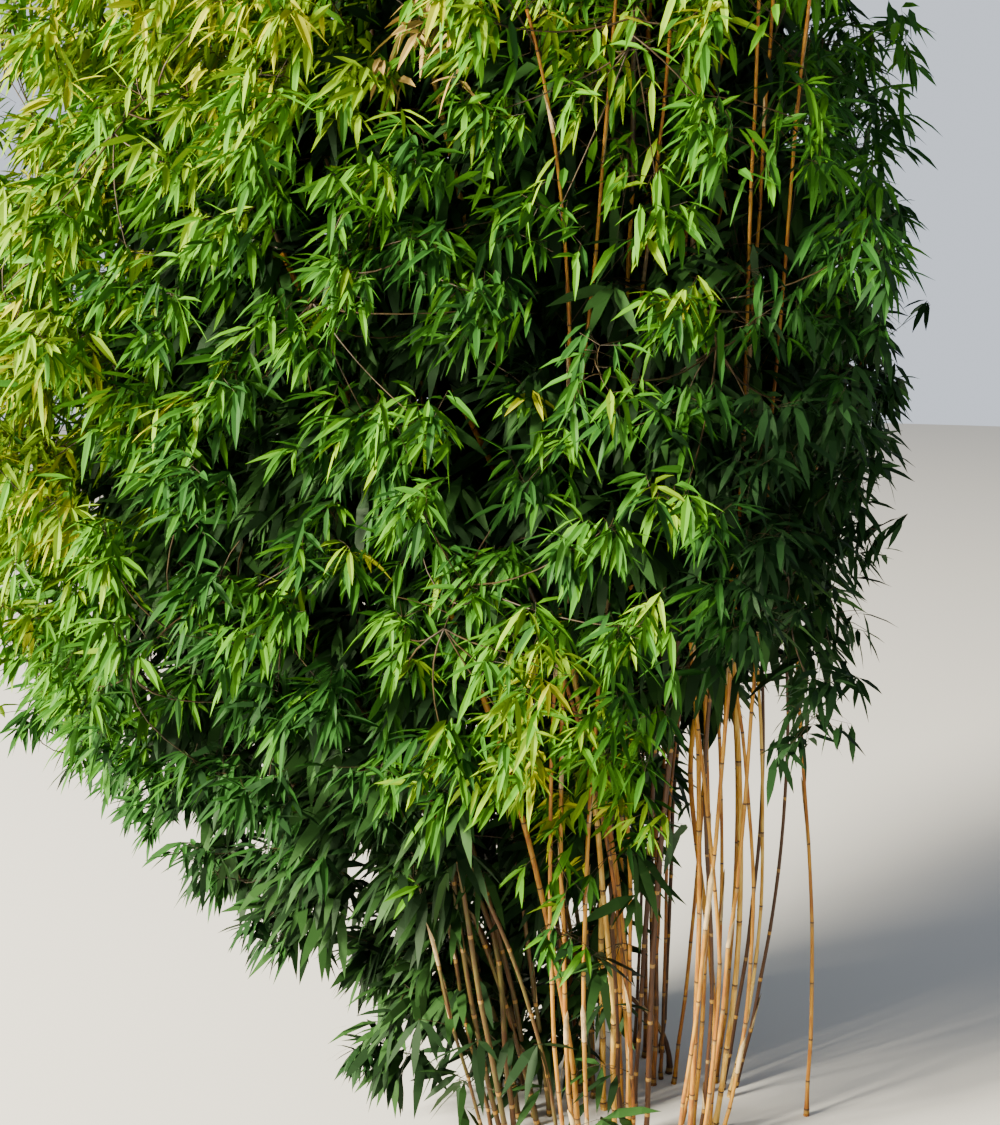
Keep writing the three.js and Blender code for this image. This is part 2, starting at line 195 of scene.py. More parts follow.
# How far beyond the crown sprays are drawn and kept, how many are drawn for one, and how close
# two may be
DRAWN_MARGIN = 0.04
SPRAY_MARGIN = 0.03
DRAWS_FOR_SPRAY = 40
SPRAY_SPACING = 0.04
SPREADING_ROUNDS = 2

# Twigs that leave canes and stems by themselves: where they grow and how many have leaves
SHOOTS_FROM = 0.95
CANE_END = 0.18
END_PLACES = 10
LOW_SHOOTS = (0.03, 0.22)
LOW_SHOOTS_LEFT_OF = 0.02
FRONT_SHOOTS = (0.34, 0.56)
FRONT_SHOOTS_BETWEEN = (-0.13, 0.01)
FRONT_SHOOTS_BEFORE = -0.12
SHOOT_LENGTHS = (0.05, 0.15)
SHORT_SHOOT_LENGTHS = (0.02, 0.07)
STEM_BARE_FROM = 0.72
STEM_SHOOTS_FROM = 0.3
STEM_SHOOT_PLACES = 15
LEAFY_SHOOTS = 0.65
SHOOT_ARCH = 0.06
SHOOT_END = 0.012

# Kinds of shoot: the most from one place, how they spread and lean, and their lengths
CANE_SHOOTS = {
    "upper": (3, [0.7, 0.45, 0.15], [0.1, -0.25, 1], SHOOT_LENGTHS),
    "low": (1, [0.7, 0.5, 0.3], [-0.4, -0.4, 0.5], SHORT_SHOOT_LENGTHS),
    "hanging": (6, [0.6, 0.3, 0.5], [0, -0.8, -0.1], SHORT_SHOOT_LENGTHS),
    "end": (3, [0.5, 0.5, 0.5], [0, -0.1, 0.2], SHORT_SHOOT_LENGTHS),
}
STEM_SHOOTS = (3, [0.8, 0.8, 0.4], [0, 0, 0.1], SHORT_SHOOT_LENGTHS)

# Parts of a cane: its joints, its swellings as shares of its girth, the pale bloom below each
# joint, and the sheaths that some of its lengths still have
CANE_SIDES = 8
CANE_STATIONS = 240
FIRST_JOINT = 0.012
JOINT_SPACINGS = [(0, 0.045), (0.08, 0.09), (0.3, 0.125), (0.7, 0.125), (1, 0.08)]
GIRTHS = (0.55, 0.85)
FRONT_GIRTHS = (0.58, 0.68)
JOINT_OFFSET = 0.0011
SPACING_CHANCE = (0.85, 1.15)
FOOT_SWELL = 0.55
FOOT_SWELL_HEIGHT = 0.02
LENGTH_SWELLS = [1.02, 0.97, 0.98, 1.03]
JOINT_SWELLS = [1.02, 1.1, 1.02]
JOINT_HALF_HEIGHT = 0.0016
BLOOM_SWELLS = [1.03, 1.045]
BLOOM_FROM, BLOOM_TO = 0.007, 0.001
SHEATHED = 0.1
SHEATHED_IN_FRONT = 0.4
SHEATH_LENGTHS = (0.4, 0.9)
SHEATH_ROWS, SHEATH_COLUMNS = 5, 7
SHEATH_HALF_TURNS = (110, 165)
SHEATH_TIP_HALF = 0.1
SHEATH_POINTEDNESS = 0.7
SHEATH_GIRTH = 1.04
SHEATH_GAP = 0.0003
SHEATH_STANDS_OFF = (0.0002, 0.003)

# Grain of each skin: streaks and blotches to a metre, and the depth of its relief
CANE_GRAIN = (420, 16, 0.0006)
JOINT_GRAIN = (300, 40, 0.0004)
BLOOM_GRAIN = (500, 60, 0.0003)
SHEATH_GRAIN = (700, 30, 0.0003)
TWIG_GRAIN = (300, 30, 0.0003)
SHEATH_SHADE = 0.45
TWIG_SHADE = 0.35

# Ripe canes from the palest to the darkest with the share of each, where olive ones stand, olive
# partly painted shade, and how a ripe cane's place makes it paler with painted sunlight or darker
# with painted shade
RIPE = [("cream", 0.14), ("golden", 0.42), ("amber", 0.26), ("russet", 0.18)]
SHADED_OLIVE_FROM = -0.02
SHADED_OLIVE_BEYOND = -0.16
SHADED_DARKER_BEHIND = 0.8
SHADE_BEHIND_FROM = -0.04
SUNLIT_PALER_ON_RIGHT = 0.5

# Tints of the outer sprays from the sunniest to the most shaded, painted sunlight and shade along
# with the leaves' own differences of tint, with the share that has each, the tints of the larger
# leaves that fill the crown's inside, which are painted shade, and where that inside begins
SUN_TO_SHADE_TINTS = [
    ("lemon", 0.045, (0.32, 0.36, 0.005)),
    ("lime", 0.19, (0.165, 0.3, 0.005)),
    ("fresh", 0.26, (0.066, 0.21, 0.008)),
    ("mid", 0.21, (0.034, 0.132, 0.01)),
    ("deep", 0.185, (0.018, 0.076, 0.012)),
    ("dusky", 0.11, (0.013, 0.043, 0.012)),
]
# The inside's tints are painted shade: darker greens for the crown's shadowed inside.
INNER_SHADE_TINTS = [("inner_shade", 0.5, (0.024, 0.07, 0.016)), ("shaded", 0.5, (0.013, 0.034, 0.012))]
FLAT_TINTS = ("dusky", "inner_shade", "shaded")
INNER_BELOW = 0.74
LIT_INWARD = 0.4
LIT_FROM = (0.6, 1)
INNER_LEAF = 1.6
REAR_LEAF = 1.4
REAR_FROM = (0, 0.2)

# Side that the sun comes from, and how the tint follows place, bough and chance: sprays towards the
# sun and near the crown's outside get painted sunlight, those turned away or deeper in get painted
# shade
SUNWARD = np.array([-0.87, -0.44, 0.32])
SUN_WEIGHTS = [1, 0.8, 0.6]
CROWN_MIDDLE = np.array([-0.25, 0, 1.2])
SUN_REACH = 0.8
FULL_SUN = 0.75
DEPTH_WEIGHT = 0.5
BOUGH_CHANCE = 0.14
SPRAY_CHANCE = 0.42

# Broad parts of the crown with painted light in their sprays' tints: painted sunlight at the top,
# painted shade near the ground, low on the left and low inside on the right. Each with the change,
# between which heights it sets in, and between which places across
EVERYWHERE = (-3, -2)
PAINTED_LIGHT_PARTS = [
    (0.6, (1.4, 1.7), EVERYWHERE), (-1, (0.42, 0.27), EVERYWHERE),
    (-0.9, (0.95, 0.6), (-0.22, -0.42)), (-1.4, (1.35, 1.05), (0.02, 0.12)),
]

# Places seen from the front with painted shade or painted sunlight, where sprays are darker or
# lighter than
# round about: how far across and up, half the width and height, and the change
PAINTED_LIGHT_PATCHES = [
    (-0.53, 1.05, 0.17, 0.4, -0.35),
    (-0.1, 0.72, 0.2, 0.24, 1.1),
    (0.0, 1.38, 0.13, 0.38, 0.7),
    (-0.5, 1.65, 0.16, 0.16, 0.5),
    (-0.85, 1.1, 0.2, 0.45, 0.6),
    (-0.06, 0.47, 0.13, 0.18, 0.9),
]

# A tuft of dry leaves high in front: its middle, its half sizes and the share of dry sprays
DRY_TUFT = np.array([-0.3, -0.45, 1.62])
DRY_REACH = np.array([0.06, 0.09, 0.09])
DRY_SHARE = 0.85
DRY_TINT = ("straw", 0, (0.36, 0.25, 0.07))

# A leaf's outline along its length, how far its sides rise from the fold, and a folded leaf's
# corners that a flat one keeps and that lie along the fold
LEAF_STATIONS = np.array([0, 0.3, 0.68, 1])
LEAF_HALVES = np.array([0, 0.5, 0.4, 0])
LEAF_FOLD = 0.35
PLAIN_LEAF = [0, 1, 3, 4, 6, 7]
ALONG_FOLD = (0, 2, 5, 7)

# How a spray heads along its twig, outwards and towards the light, and how its leaves sit on it:
# angles in degrees, and for most the mean with the spread
HEADING_ALONG = 0.7
HEADING_OUT = 0.45
HEADING_LEAN = [-0.7, -0.15, 0]
HEADING_CHANCE = 0.6
LEAF_SIZES = (0.72, 1.25)
SHORTER_EACH = 0.04
FAN_FIRST, FAN_EACH = 20, 13
FAN_CHANCE = 0.25
LEAF_PITCH = (30, 25)
LEAF_ROLL = (0, 26)
LEAF_STEP = 0.14
LEAF_DROOPS = (0.05, 0.3)

# Floor, light and camera
FLOOR_RADIUS = 12
FLOOR_CORNERS = 96
KEY_COLOUR = (1, 0.91, 0.71)
KEY_SIZE = 3.2
KEY_AIM = np.array([-0.2, 0, 1.1])
KEY_DISTANCE = 11
SKY_COLOUR = (0.82, 0.89, 1, 1)
CAMERA_PLACE = (-0.195, -2.4, 1.35)
CAMERA_DOWN = 10.5
SENSOR_WIDTH = 36
FOCAL_LENGTH = SENSOR_WIDTH * 1600 / 1125

GOLDEN_ANGLE = math.pi * (3 - math.sqrt(5))
UP = np.array([0.0, 0.0, 1.0])
WORD = 0xFFFFFFFF


def unit(vectors):
    """The same directions with a length of one."""
    return vectors / np.maximum(np.linalg.norm(vectors, axis=-1, keepdims=True), 1e-12)


def ramp(values, start, end):
    """0 up to start and 1 from end on, rising evenly between; end may be the lower one."""
    return np.clip((values - start) / (end - start), 0, 1)


def between(values, ends):
    """Which values lie between the two ends."""
    return (values > ends[0]) & (values < ends[1])


def seeded(seed):
    """Numbers from 0 to 1 that are the same on every run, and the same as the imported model's."""
    state = seed & WORD

    def number():
        nonlocal state
        state = (state + 0x6D2B79F5) & WORD
        t = ((state ^ (state >> 15)) * (1 | state)) & WORD
        t = ((t + (t ^ (t >> 7)) * (61 | t)) ^ t) & WORD
        return ((t ^ (t >> 14)) & WORD) / 4294967296

    return number


def by_chance(amount, random):
    """A least amount and some share of the most that chance adds to it."""
    least, added = amount
    return least + added * random()


def bezier(controls, t):
    """Points at the shares t of the curve with these control points."""
    t = np.asarray(t, float)[:, None]
    degree = len(controls) - 1
    weights = (math.comb(degree, i) * t**i * (1 - t) ** (degree - i) for i in range(degree + 1))
    return sum(weight * control for weight, control in zip(weights, np.asarray(controls, float)))


def crown_share(z):
    """How far the crown reaches at a height, as a share of its largest reach."""
    heights, shares = zip(*CROWN_PROFILE)
    return np.interp(np.asarray(z) / PLANT_HEIGHT, heights, shares)


def by_side(lengths, x, y):
    """The lengths given for the sides of the plant that x and y point to."""
    return (
        np.where(np.asarray(x) < 0, lengths["left"], lengths["right"]),
        np.where(np.asarray(y) < 0, lengths["front"], lengths["back"]),
    )


def share_out(points, beyond=0.0):
    """How far out places lie, as a share of the crown's largest reach that way."""
    x, y = points[..., 0], points[..., 1]
    reach_x, reach_y = by_side(CROWN_REACH, x, y)
    return np.sqrt((x / (reach_x + beyond)) ** 2 + (y / (reach_y + beyond)) ** 2)


def crown_depth(points, beyond=0.0):
    """0 on the crown's upright axis and 1 on its outside, at the side or at the top."""
    return share_out(points, beyond) / crown_share(points[..., 2] + TOP_LAYER)


def underside(points):
    """Height of the crown's underside, from its own heights at the sides and at front and back."""
    x, y = points[..., 0], points[..., 1]
    reach_x, reach_y = by_side(CROWN_REACH, x, y)
    sideways, lengthways = (x / reach_x) ** 2, (y / reach_y) ** 2
    side_height, end_height = by_side(CROWN_UNDERSIDE, x, y)
    weight = np.maximum(sideways + lengthways, 1e-12)
    return (sideways * side_height + lengthways * end_height) / weight


def in_crown(points, beyond=0.0):
    """True for each place that the crown, grown by a margin, takes in."""
    z = points[..., 2]
    lowest = np.maximum(underside(points) - beyond, LOWEST_LEAF)
    return (share_out(points, beyond) <= crown_share(z)) & (z >= lowest) & (z <= PLANT_HEIGHT)


def crown_samples():
    """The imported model's own even scatter of places through the crown."""
    random = seeded(SEED)
    kept = np.empty((0, 3))
    while len(kept) < CROWN_SAMPLES:
        drawn = np.array([random() for _ in range(3 * CROWN_SAMPLES)]).reshape(-1, 3)
        points = CROWN_LOW + (CROWN_HIGH - CROWN_LOW) * drawn
        outside_hollow = (share_out(points) > HOLLOW_SHARE) | (points[:, 2] > HOLLOW_TOP)
        kept = np.vstack([kept, points[outside_hollow & in_crown(points)]])
    return kept[:CROWN_SAMPLES]


def nearest_of(points, centres):
    """Index of the nearest centre to each point."""
    return ((points[:, None] - centres[None]) ** 2).sum(-1).argmin(1)


def settled(points, count, rounds):
    """Centres that share points out evenly: each settles in the middle of what lies nearest it."""
    centres = points[:count].copy()
    for _ in range(rounds):
        nearest = nearest_of(points, centres)
        counts = np.bincount(nearest, minlength=len(centres))
        sums = np.stack([np.bincount(nearest, points[:, i], len(centres)) for i in range(3)], 1)
        held = counts > 0
        centres[held] = sums[held] / counts[held, None]
    return centres


class Mass:
    """One mass of foliage: its centre, and its stem from its cane's tip out through it."""

    def __init__(self, centre):
        outward = unit(centre * [1, 1, 0])
        rise = np.clip((centre[2] - RISE_FROM) / RISE_OVER, *RISES)
        room = math.hypot(*by_side(CROWN_REACH, centre[0], centre[1])) / MEAN_REACH
        spread = (1 - NARROWED_BY_RISE * max(rise, 0)) * room
        start = centre - outward * STEM_INWARD * spread - UP * STEM_BELOW * (1 + START_DROP * rise)
        middle = centre + UP * STEM_ARCH * (1 + rise)
        end = centre + outward * STEM_OUTWARD * spread + UP * (END_RISE * rise - END_DROP)
        self.centre = centre
        self.stem = np.array([start, middle, end])


@functools.cache
def grown_masses():
    """Every mass, the highest first."""
    centres = settled(crown_samples(), MASSES, SETTLING_ROUNDS)
    return [Mass(centre) for centre in sorted(centres, key=lambda centre: -centre[2])]


class Foot:
    """Where a cane leaves the ground, and what it grows up to."""

    def __init__(self, tuft, x, y):
        self.tuft = tuft
        self.place = np.array([x, y, 0.0])
        self.mass = None
        self.tip = None


def feet():
    """Each tuft has one cane in its middle and a ring round that."""
    places = []
    for tuft in range(TUFTS):
        share = (tuft / (TUFTS - 1)) ** RIM_CROWDING
        turn = tuft * GOLDEN_ANGLE
        x = FOOT_HALF_WIDTH * share * math.cos(turn)
        y = FOOT_HALF_DEPTH * share * math.sin(turn)
        places.append(Foot(tuft, x, y))
        for i in range(1, CANES_IN_TUFT):
            about = turn + 2 * math.pi * i / (CANES_IN_TUFT - 1)
            places.append(
                Foot(tuft, x + TUFT_SPACING * math.cos(about), y + TUFT_SPACING * math.sin(about))
            )
    places.append(Foot(TUFTS, *LONE_CANE_FOOT))
    return places


def best_foot(places, x, y):
    """The free cane whose foot lies best towards a tip at x and y."""
    reach_x, reach_y = by_side(CROWN_REACH, x, y)
    wanted = np.array([FOOT_HALF_WIDTH * x / reach_x, FOOT_HALF_DEPTH * y / reach_y, 0])
    free = [foot for foot in places if foot.mass is None and foot.tip is None]
    away = [np.linalg.norm(wanted - foot.place) for foot in free]
    return free[int(np.argmin(away))]


def bare_tip(foot, random):
    """A tip inside the crown on the same side of the plant as the cane's foot."""
    low, high = BARE_TIP_HEIGHTS
    z = low + (high - low) * random()
    turn = math.atan2(foot.place[1] / FOOT_HALF_DEPTH, foot.place[0] / FOOT_HALF_WIDTH)
    angle = turn + BARE_TIP_TURN * (random() - 0.5)
    reach_x, reach_y = by_side(CROWN_REACH, math.cos(angle), math.sin(angle))
    share = crown_share(z) * by_chance(BARE_TIP_OUT, random)
    return np.array([reach_x * share * math.cos(angle), reach_y * share * math.sin(angle), z])


def cane_controls(foot, random, freedom):
    """A cane leans out as it leaves the ground, then bends to reach its tip the right way."""
    def sway():
        return freedom * (random() - 0.5)

    rim_lean = LONE_CANE_LEAN if foot.tuft == TUFTS else RIM_LEAN
    lean = np.array([
        rim_lean * foot.place[0] / FOOT_HALF_WIDTH + sway(),
        rim_lean * foot.place[1] / FOOT_HALF_DEPTH + sway(),
        1,
    ])
    if foot.mass:
        tip = foot.mass.stem[0]
        arrival = foot.mass.stem[1] - tip
    else:
        tip = bare_tip(foot, random) if foot.tip is None else foot.tip
        arrival = np.array([tip[0], tip[1], BARE_TIP_RISE])
    arrival = unit(arrival) + np.array([ARRIVAL_SWAY * sway(), ARRIVAL_SWAY * sway(), 0])
    length = np.linalg.norm(tip - foot.place)
    low = foot.place + lean * by_chance(LOW_BEND, random) * length
    high = tip - arrival * by_chance(HIGH_BEND, random) * length
    return np.array([foot.place, low, high, tip])


def piece_gaps(a0, a1, b0, b1):
    """Shortest distances between each straight piece of one line and each of the others."""
    u, v, w = (a1 - a0)[:, None], (b1 - b0)[None], a0[:, None] - b0[None]
    uu, uv, vv = (u * u).sum(-1), (u * v).sum(-1), (v * v).sum(-1)
    uw, vw = (u * w).sum(-1), (v * w).sum(-1)
    crossing = uu * vv - uv * uv
    apart = crossing > 1e-21
    first = np.where(apart, np.clip((uv * vw - vv * uw) / np.where(apart, crossing, 1), 0, 1), 0)
    t = np.clip((uv * first + vw) / vv, 0, 1)
    s = np.clip((uv * t - uw) / uu, 0, 1)
    return np.linalg.norm(w + u * s[..., None] - v * t[..., None], axis=-1)


def line_pieces(points, radii):
    """The straight pieces between points: starts, ends, and the larger radius of each."""
    return points[:-1], points[1:], np.maximum(radii[:-1], radii[1:])


class Cane:
    """One cane: its foot, its curve, and its radius along it."""

    def __init__(self, foot, controls):
        self.foot = foot
        self.controls = controls
        self.tip_radius = BEARER_TIP_RADIUS if foot.mass else BARE_TIP_RADIUS
        flare_top = FLARE_HEIGHT / (3 * np.linalg.norm(controls[1] - controls[0]))
        stations = np.array([0, flare_top, *(BEARER_BENDS if foot.mass else BARE_BENDS)])
        radii = CANE_RADIUS + (self.tip_radius - CANE_RADIUS) * stations
        self.pieces = line_pieces(bezier(controls, stations), radii)


def stem_pieces(mass):
    """A mass's stem as straight pieces, with the room that canes leave it."""
    radii = np.full(len(STEM_STATIONS), STEM_CLEARANCE)
    return line_pieces(bezier(mass.stem, STEM_STATIONS), radii)


def clear(cane, others):
    """True where a cane passes every other limb with room to spare."""
    a0, a1, radii = cane.pieces
    b0, b1, other_radii = (np.concatenate(parts) for parts in zip(*others))
    room = radii[:, None] + other_radii[None] + LIMB_CLEARANCE
    return not (piece_gaps(a0, a1, b0, b1) < room).any()


@functools.cache
def grown_canes():
    """Every cane, clear of all the stems and of the canes before it."""
    masses = grown_masses()
    places = feet()
    places[-1].tip = np.array(LONE_CANE_TIP)
    for mass in masses:
        best_foot(places, mass.stem[0][0], mass.stem[0][1]).mass = mass
    for tip in FRONT_TIPS:
        best_foot(places, tip[0], tip[1]).tip = np.array(tip)
    random = seeded(SEED + 1)
    canes = []
    for foot in places:
        others = [cane.pieces for cane in canes]
        others += [stem_pieces(mass) for mass in masses if mass is not foot.mass]
        for attempt in range(CANE_TRIES):
            cane = Cane(foot, cane_controls(foot, random, CANE_SWAY + SWAY_ADDED * attempt))
            if clear(cane, others):
                canes.append(cane)
                break
        else:
            raise RuntimeError(f"no clear way up for a cane of tuft {foot.tuft + 1}")
    return canes


def limb_paths(starts, directions, ends, arch, points, wander=0.0):
    """Curves that set off in a direction, arch over and come down to their ends."""
    length = np.linalg.norm(ends - starts, axis=-1, keepdims=True)
    setting_off = unit(unit(directions) + TOWARDS_END * unit(ends - starts))
    middles = starts + setting_off * BEND_AT * length + UP * arch * length + wander * length
    low, high = np.minimum(starts, ends) - BEND_ROOM, np.maximum(starts, ends) + BEND_ROOM
    middles = np.clip(middles, low, high)
    t = np.linspace(0, 1, points)[None, :, None]
    starts, middles, ends = starts[:, None], middles[:, None], ends[:, None]
    return starts * (1 - t) ** 2 + middles * 2 * t * (1 - t) + ends * t**2


def path_directions(paths):
    """Direction of each path at each of its points."""
    return unit(np.gradient(paths, axis=1))


def rooted_at(paths, targets, earliest):
    """For each target the place and direction of the nearest point of any path, past its start."""
    places = paths[:, earliest:].reshape(-1, 3)
    directions = path_directions(paths)[:, earliest:].reshape(-1, 3)
    nearest = nearest_of(targets, places)
    return places[nearest], directions[nearest]


def spray_targets(count, random):
    """Even places for sprays, closer together towards the crown's outside than in its middle."""
    lowest = CROWN_LOW - DRAWN_MARGIN
    spans = CROWN_HIGH + DRAWN_MARGIN - lowest
    points = lowest + spans * random.random((DRAWS_FOR_SPRAY * count, 3))
    depth = crown_depth(points, DRAWN_MARGIN)
    x = points[:, 0]
    wanted = MIDDLE_KEPT + (1 - MIDDLE_KEPT) * ramp(depth, *MIDDLE_DEPTHS) ** MIDDLE_FALL
    wanted *= 1 - SKIRT_THINNED * right_skirt(points)
    wanted *= OFF_LEFT_KEPT + (1 - OFF_LEFT_KEPT) * ramp(x, *LEFT_FROM)
    wanted *= 1 - RIGHT_THINNED * ramp(x, *RIGHT_FROM)
    points = points[in_crown(points, SPRAY_MARGIN) & (random.random(len(points)) < wanted)]
    points = points[~before_front_canes(points)]
    kept = points[:count].copy()
    spare = points[count:]
    for _ in range(SPREADING_ROUNDS):
        kept = spread_out(kept, spare)
    return kept


def right_skirt(points):
    """From 0 to 1 in the crown's lowest layer on the right, which has few leaves left."""
    x = points[:, 0]
    depth = BARE_SKIRT + SKIRT_DEEPENED * ramp(x, *SKIRT_DEEPENED_FROM)
    height = points[:, 2] - underside(points)
    return ramp(height / depth, *SKIRT_FADES) * ramp(x, *SKIRT_RIGHT_OF)


def before_front_canes(points):
    """True for each place that would hide the upper part of one of the foremost canes."""
    hidden = np.zeros(len(points), bool)
    for cane in grown_canes():
        if cane.foot.tip is None or cane.foot.tuft == TUFTS:
            continue
        line = bezier(cane.controls, np.linspace(0, 1, OPEN_STATIONS))
        x, y = (np.interp(points[:, 2], line[:, 2], line[:, i]) for i in range(2))
        ahead = y + OPEN_BEHIND - points[:, 1]
        hidden |= (ahead > 0) & (abs(points[:, 0] - x + OPEN_SLANT * ahead) < OPEN_BESIDE)
    return hidden & (points[:, 2] > OPEN_FROM)


def spread_out(kept, spare):
    """Moves each place that crowds another to a spare place that has more room."""
    cells = {}
    for i, cell in enumerate(map(tuple, (kept // SPRAY_SPACING).astype(int))):
        cells.setdefault(cell, []).append(i)
    crowded = [i for members in cells.values() for i in members[1:]]
    spare_cells = map(tuple, (spare // SPRAY_SPACING).astype(int))
    free = [i for i, cell in enumerate(spare_cells) if cell not in cells]
    swap = min(len(crowded), len(free))
    kept[crowded[:swap]] = spare[free[:swap]]
    return kept


# All of the crown's wood, the twiglets that sprays hang from, and the bough of each spray
Growth = namedtuple("Growth", "boughs twigs twiglets bough_of_spray")


def ragged_moves(centres, random):
    """How far each bough's clump sits in or out from an even crown, or hangs below it."""
    outward = unit(centres * [1, 1, 0])
    moves = outward * random.uniform(*BOUGH_DEPTHS, (len(centres), 1))
    low = centres[:, 2] - underside(centres) < HANG_WITHIN
    low = low & between(centres[:, 0], HANG_BETWEEN)
    hang = HANG * random.random(len(centres)) ** HANG_RARITY * low
    return moves - UP * np.minimum(hang, centres[:, 2] - LOWEST_HANG)[:, None]


def shoots_from(joints, most, spread, lean, lengths, random):
    """Thin twigs that fan out from joints, up to so many from each."""
    starts = joints.repeat(random.integers(0, most + 1, len(joints)), 0)
    turns = random.normal(0, 1, starts.shape) * spread + lean
    ends = starts + unit(turns) * random.uniform(*lengths, (len(starts), 1))
    return limb_paths(starts, ends - starts, ends, SHOOT_ARCH, TWIG_POINTS)


def stem_shoots(random):
    """Short twigs on the lengths of stem that reach out of the crown."""
    along = np.linspace(STEM_SHOOTS_FROM, 1, STEM_SHOOT_PLACES)
    points = np.concatenate([bezier(mass.stem, along) for mass in grown_masses()])
    bare = (crown_depth(points) > STEM_BARE_FROM) | (points[:, 2] > PLANT_HEIGHT - TOP_LAYER)
    return shoots_from(points[bare], *STEM_SHOOTS, random)


def cane_shoots(random):
    """Twigs at the foremost canes' upper joints and ends, low on the left and under the crown."""
    places = {kind: [] for kind in CANE_SHOOTS}
    for cane, shape in zip(grown_canes(), cane_shapes()):
        joints = shape.at(shape.joints)
        x, y, z = joints.T
        if cane.foot.tip is not None:
            places["upper"].append(joints[z > SHOOTS_FROM])
            places["end"].append(shape.at(shape.length - np.linspace(0, CANE_END, END_PLACES)))
        if cane.foot.place[0] < LOW_SHOOTS_LEFT_OF:
            places["low"].append(joints[between(z, LOW_SHOOTS)])
        in_front = between(x, FRONT_SHOOTS_BETWEEN) & (y < FRONT_SHOOTS_BEFORE)
        places["hanging"].append(joints[in_front & between(z, FRONT_SHOOTS)])
    shoots = [
        shoots_from(np.concatenate(places[kind]), *rule, random)
        for kind, rule in CANE_SHOOTS.items()
    ]
    return np.concatenate(shoots)


def grown_boughs(own, mass, cane, random):
    """The boughs of a mass, each with its path, its twigs and the twiglets that hold sprays."""
    centres = settled(own, max(2, round(len(own) / BOUGH_SHARE)), FINE_ROUNDS)
    stem = bezier(mass.stem, np.linspace(0, 1, STEM_POINTS))
    top = bezier(cane.controls, np.linspace(BOUGHS_FROM, 1, STEM_POINTS))
    starts, directions = rooted_at(np.stack([top, stem]), centres, 1)
    moves = ragged_moves(centres, random)
    wander = random.normal(0, BOUGH_WANDER, centres.shape)
    paths = limb_paths(starts, directions, centres + moves, BOUGH_ARCH, BOUGH_POINTS, wander)
    bough_of = nearest_of(own, centres)
    for bough, path in enumerate(paths):
        held = own[bough_of == bough]
        if len(held) < FEWEST_SPRAYS or np.linalg.norm(path[-1] - path[0]) > LONGEST_BOUGH:
            continue
        held = held + random.uniform(*BOUGH_PULL) * (centres[bough] - held) + moves[bough]
        middles = settled(held, max(1, round(len(held) / TWIG_SHARE)), FINE_ROUNDS)
        starts, directions = rooted_at(path[None], middles, 2)
        twigs = limb_paths(starts, directions, middles, TWIG_ARCH, TWIG_POINTS)
        starts, directions = rooted_at(twigs, held, 1)
        yield path, twigs, np.stack([starts, held], 1)


@functools.cache
def grown_crown(sprays):
    """Shares each mass out among boughs, each bough among twigs and each twig among sprays."""
    random = np.random.default_rng(SEED)
    masses = grown_masses()
    canes = {id(cane.foot.mass): cane for cane in grown_canes() if cane.foot.mass}
    targets = spray_targets(sprays, random)
    owner = nearest_of(targets, np.array([mass.centre for mass in masses]))
    grown = []
    for index, mass in enumerate(masses):
        grown += grown_boughs(targets[owner == index], mass, canes[id(mass)], random)
    boughs, twigs, twiglets = (list(parts) for parts in zip(*grown))
    bough_of_spray = [np.full(len(held), bough + 1) for bough, held in enumerate(twiglets)]
    shoots = np.concatenate([cane_shoots(random), stem_shoots(random)])
    tips = shoots[:, -1] + random.normal(0, SHOOT_END, (len(shoots), 3))
    leafy = random.random(len(shoots)) < LEAFY_SHOOTS
    twigs.append(shoots)
    twiglets.append(np.stack([shoots[:, -1], tips], 1)[leafy])
    bough_of_spray.append(np.zeros(leafy.sum(), int))
    finer = (np.concatenate(parts) for parts in (twigs, twiglets, bough_of_spray))
    return Growth(np.array(boughs), *finer)


def tube(paths, radii, sides):
    """Vertices and four-sided faces of round limbs along paths, all with as many points."""
    count, points, _ = paths.shape
    along = path_directions(paths)
    across = np.cross(along[:, 0], UP)
    across = np.where(np.linalg.norm(across, axis=-1, keepdims=True) < 0.2, [1.0, 0, 0], across)
    rings = np.empty((count, points, sides, 3))
    angles = 2 * math.pi * np.arange(sides) / sides
    cos, sin = np.cos(angles), np.sin(angles)
    for i in range(points):
        across = unit(across - (across * along[:, i]).sum(-1, keepdims=True) * along[:, i])
        beside = np.cross(along[:, i], across)
        circle = cos[:, None] * across[:, None] + sin[:, None] * beside[:, None]
        rings[:, i] = paths[:, i, None] + circle * radii[:, i, None, None]
    corner = np.arange(count * points * sides).reshape(count, points, sides)
    low, high = corner[:, :-1], corner[:, 1:]
    faces = np.stack([low, np.roll(low, -1, 2), np.roll(high, -1, 2), high], -1)
    return rings.reshape(-1, 3), faces.reshape(-1, 4)


def joined(shapes):
    """Several vertex and face arrays as one."""
    starts = np.cumsum([0] + [len(vertices) for vertices, _ in shapes[:-1]])
    vertices = np.concatenate([vertices for vertices, _ in shapes])
    faces = np.concatenate([faces + start for start, (_, faces) in zip(starts, shapes)])
    return vertices, faces


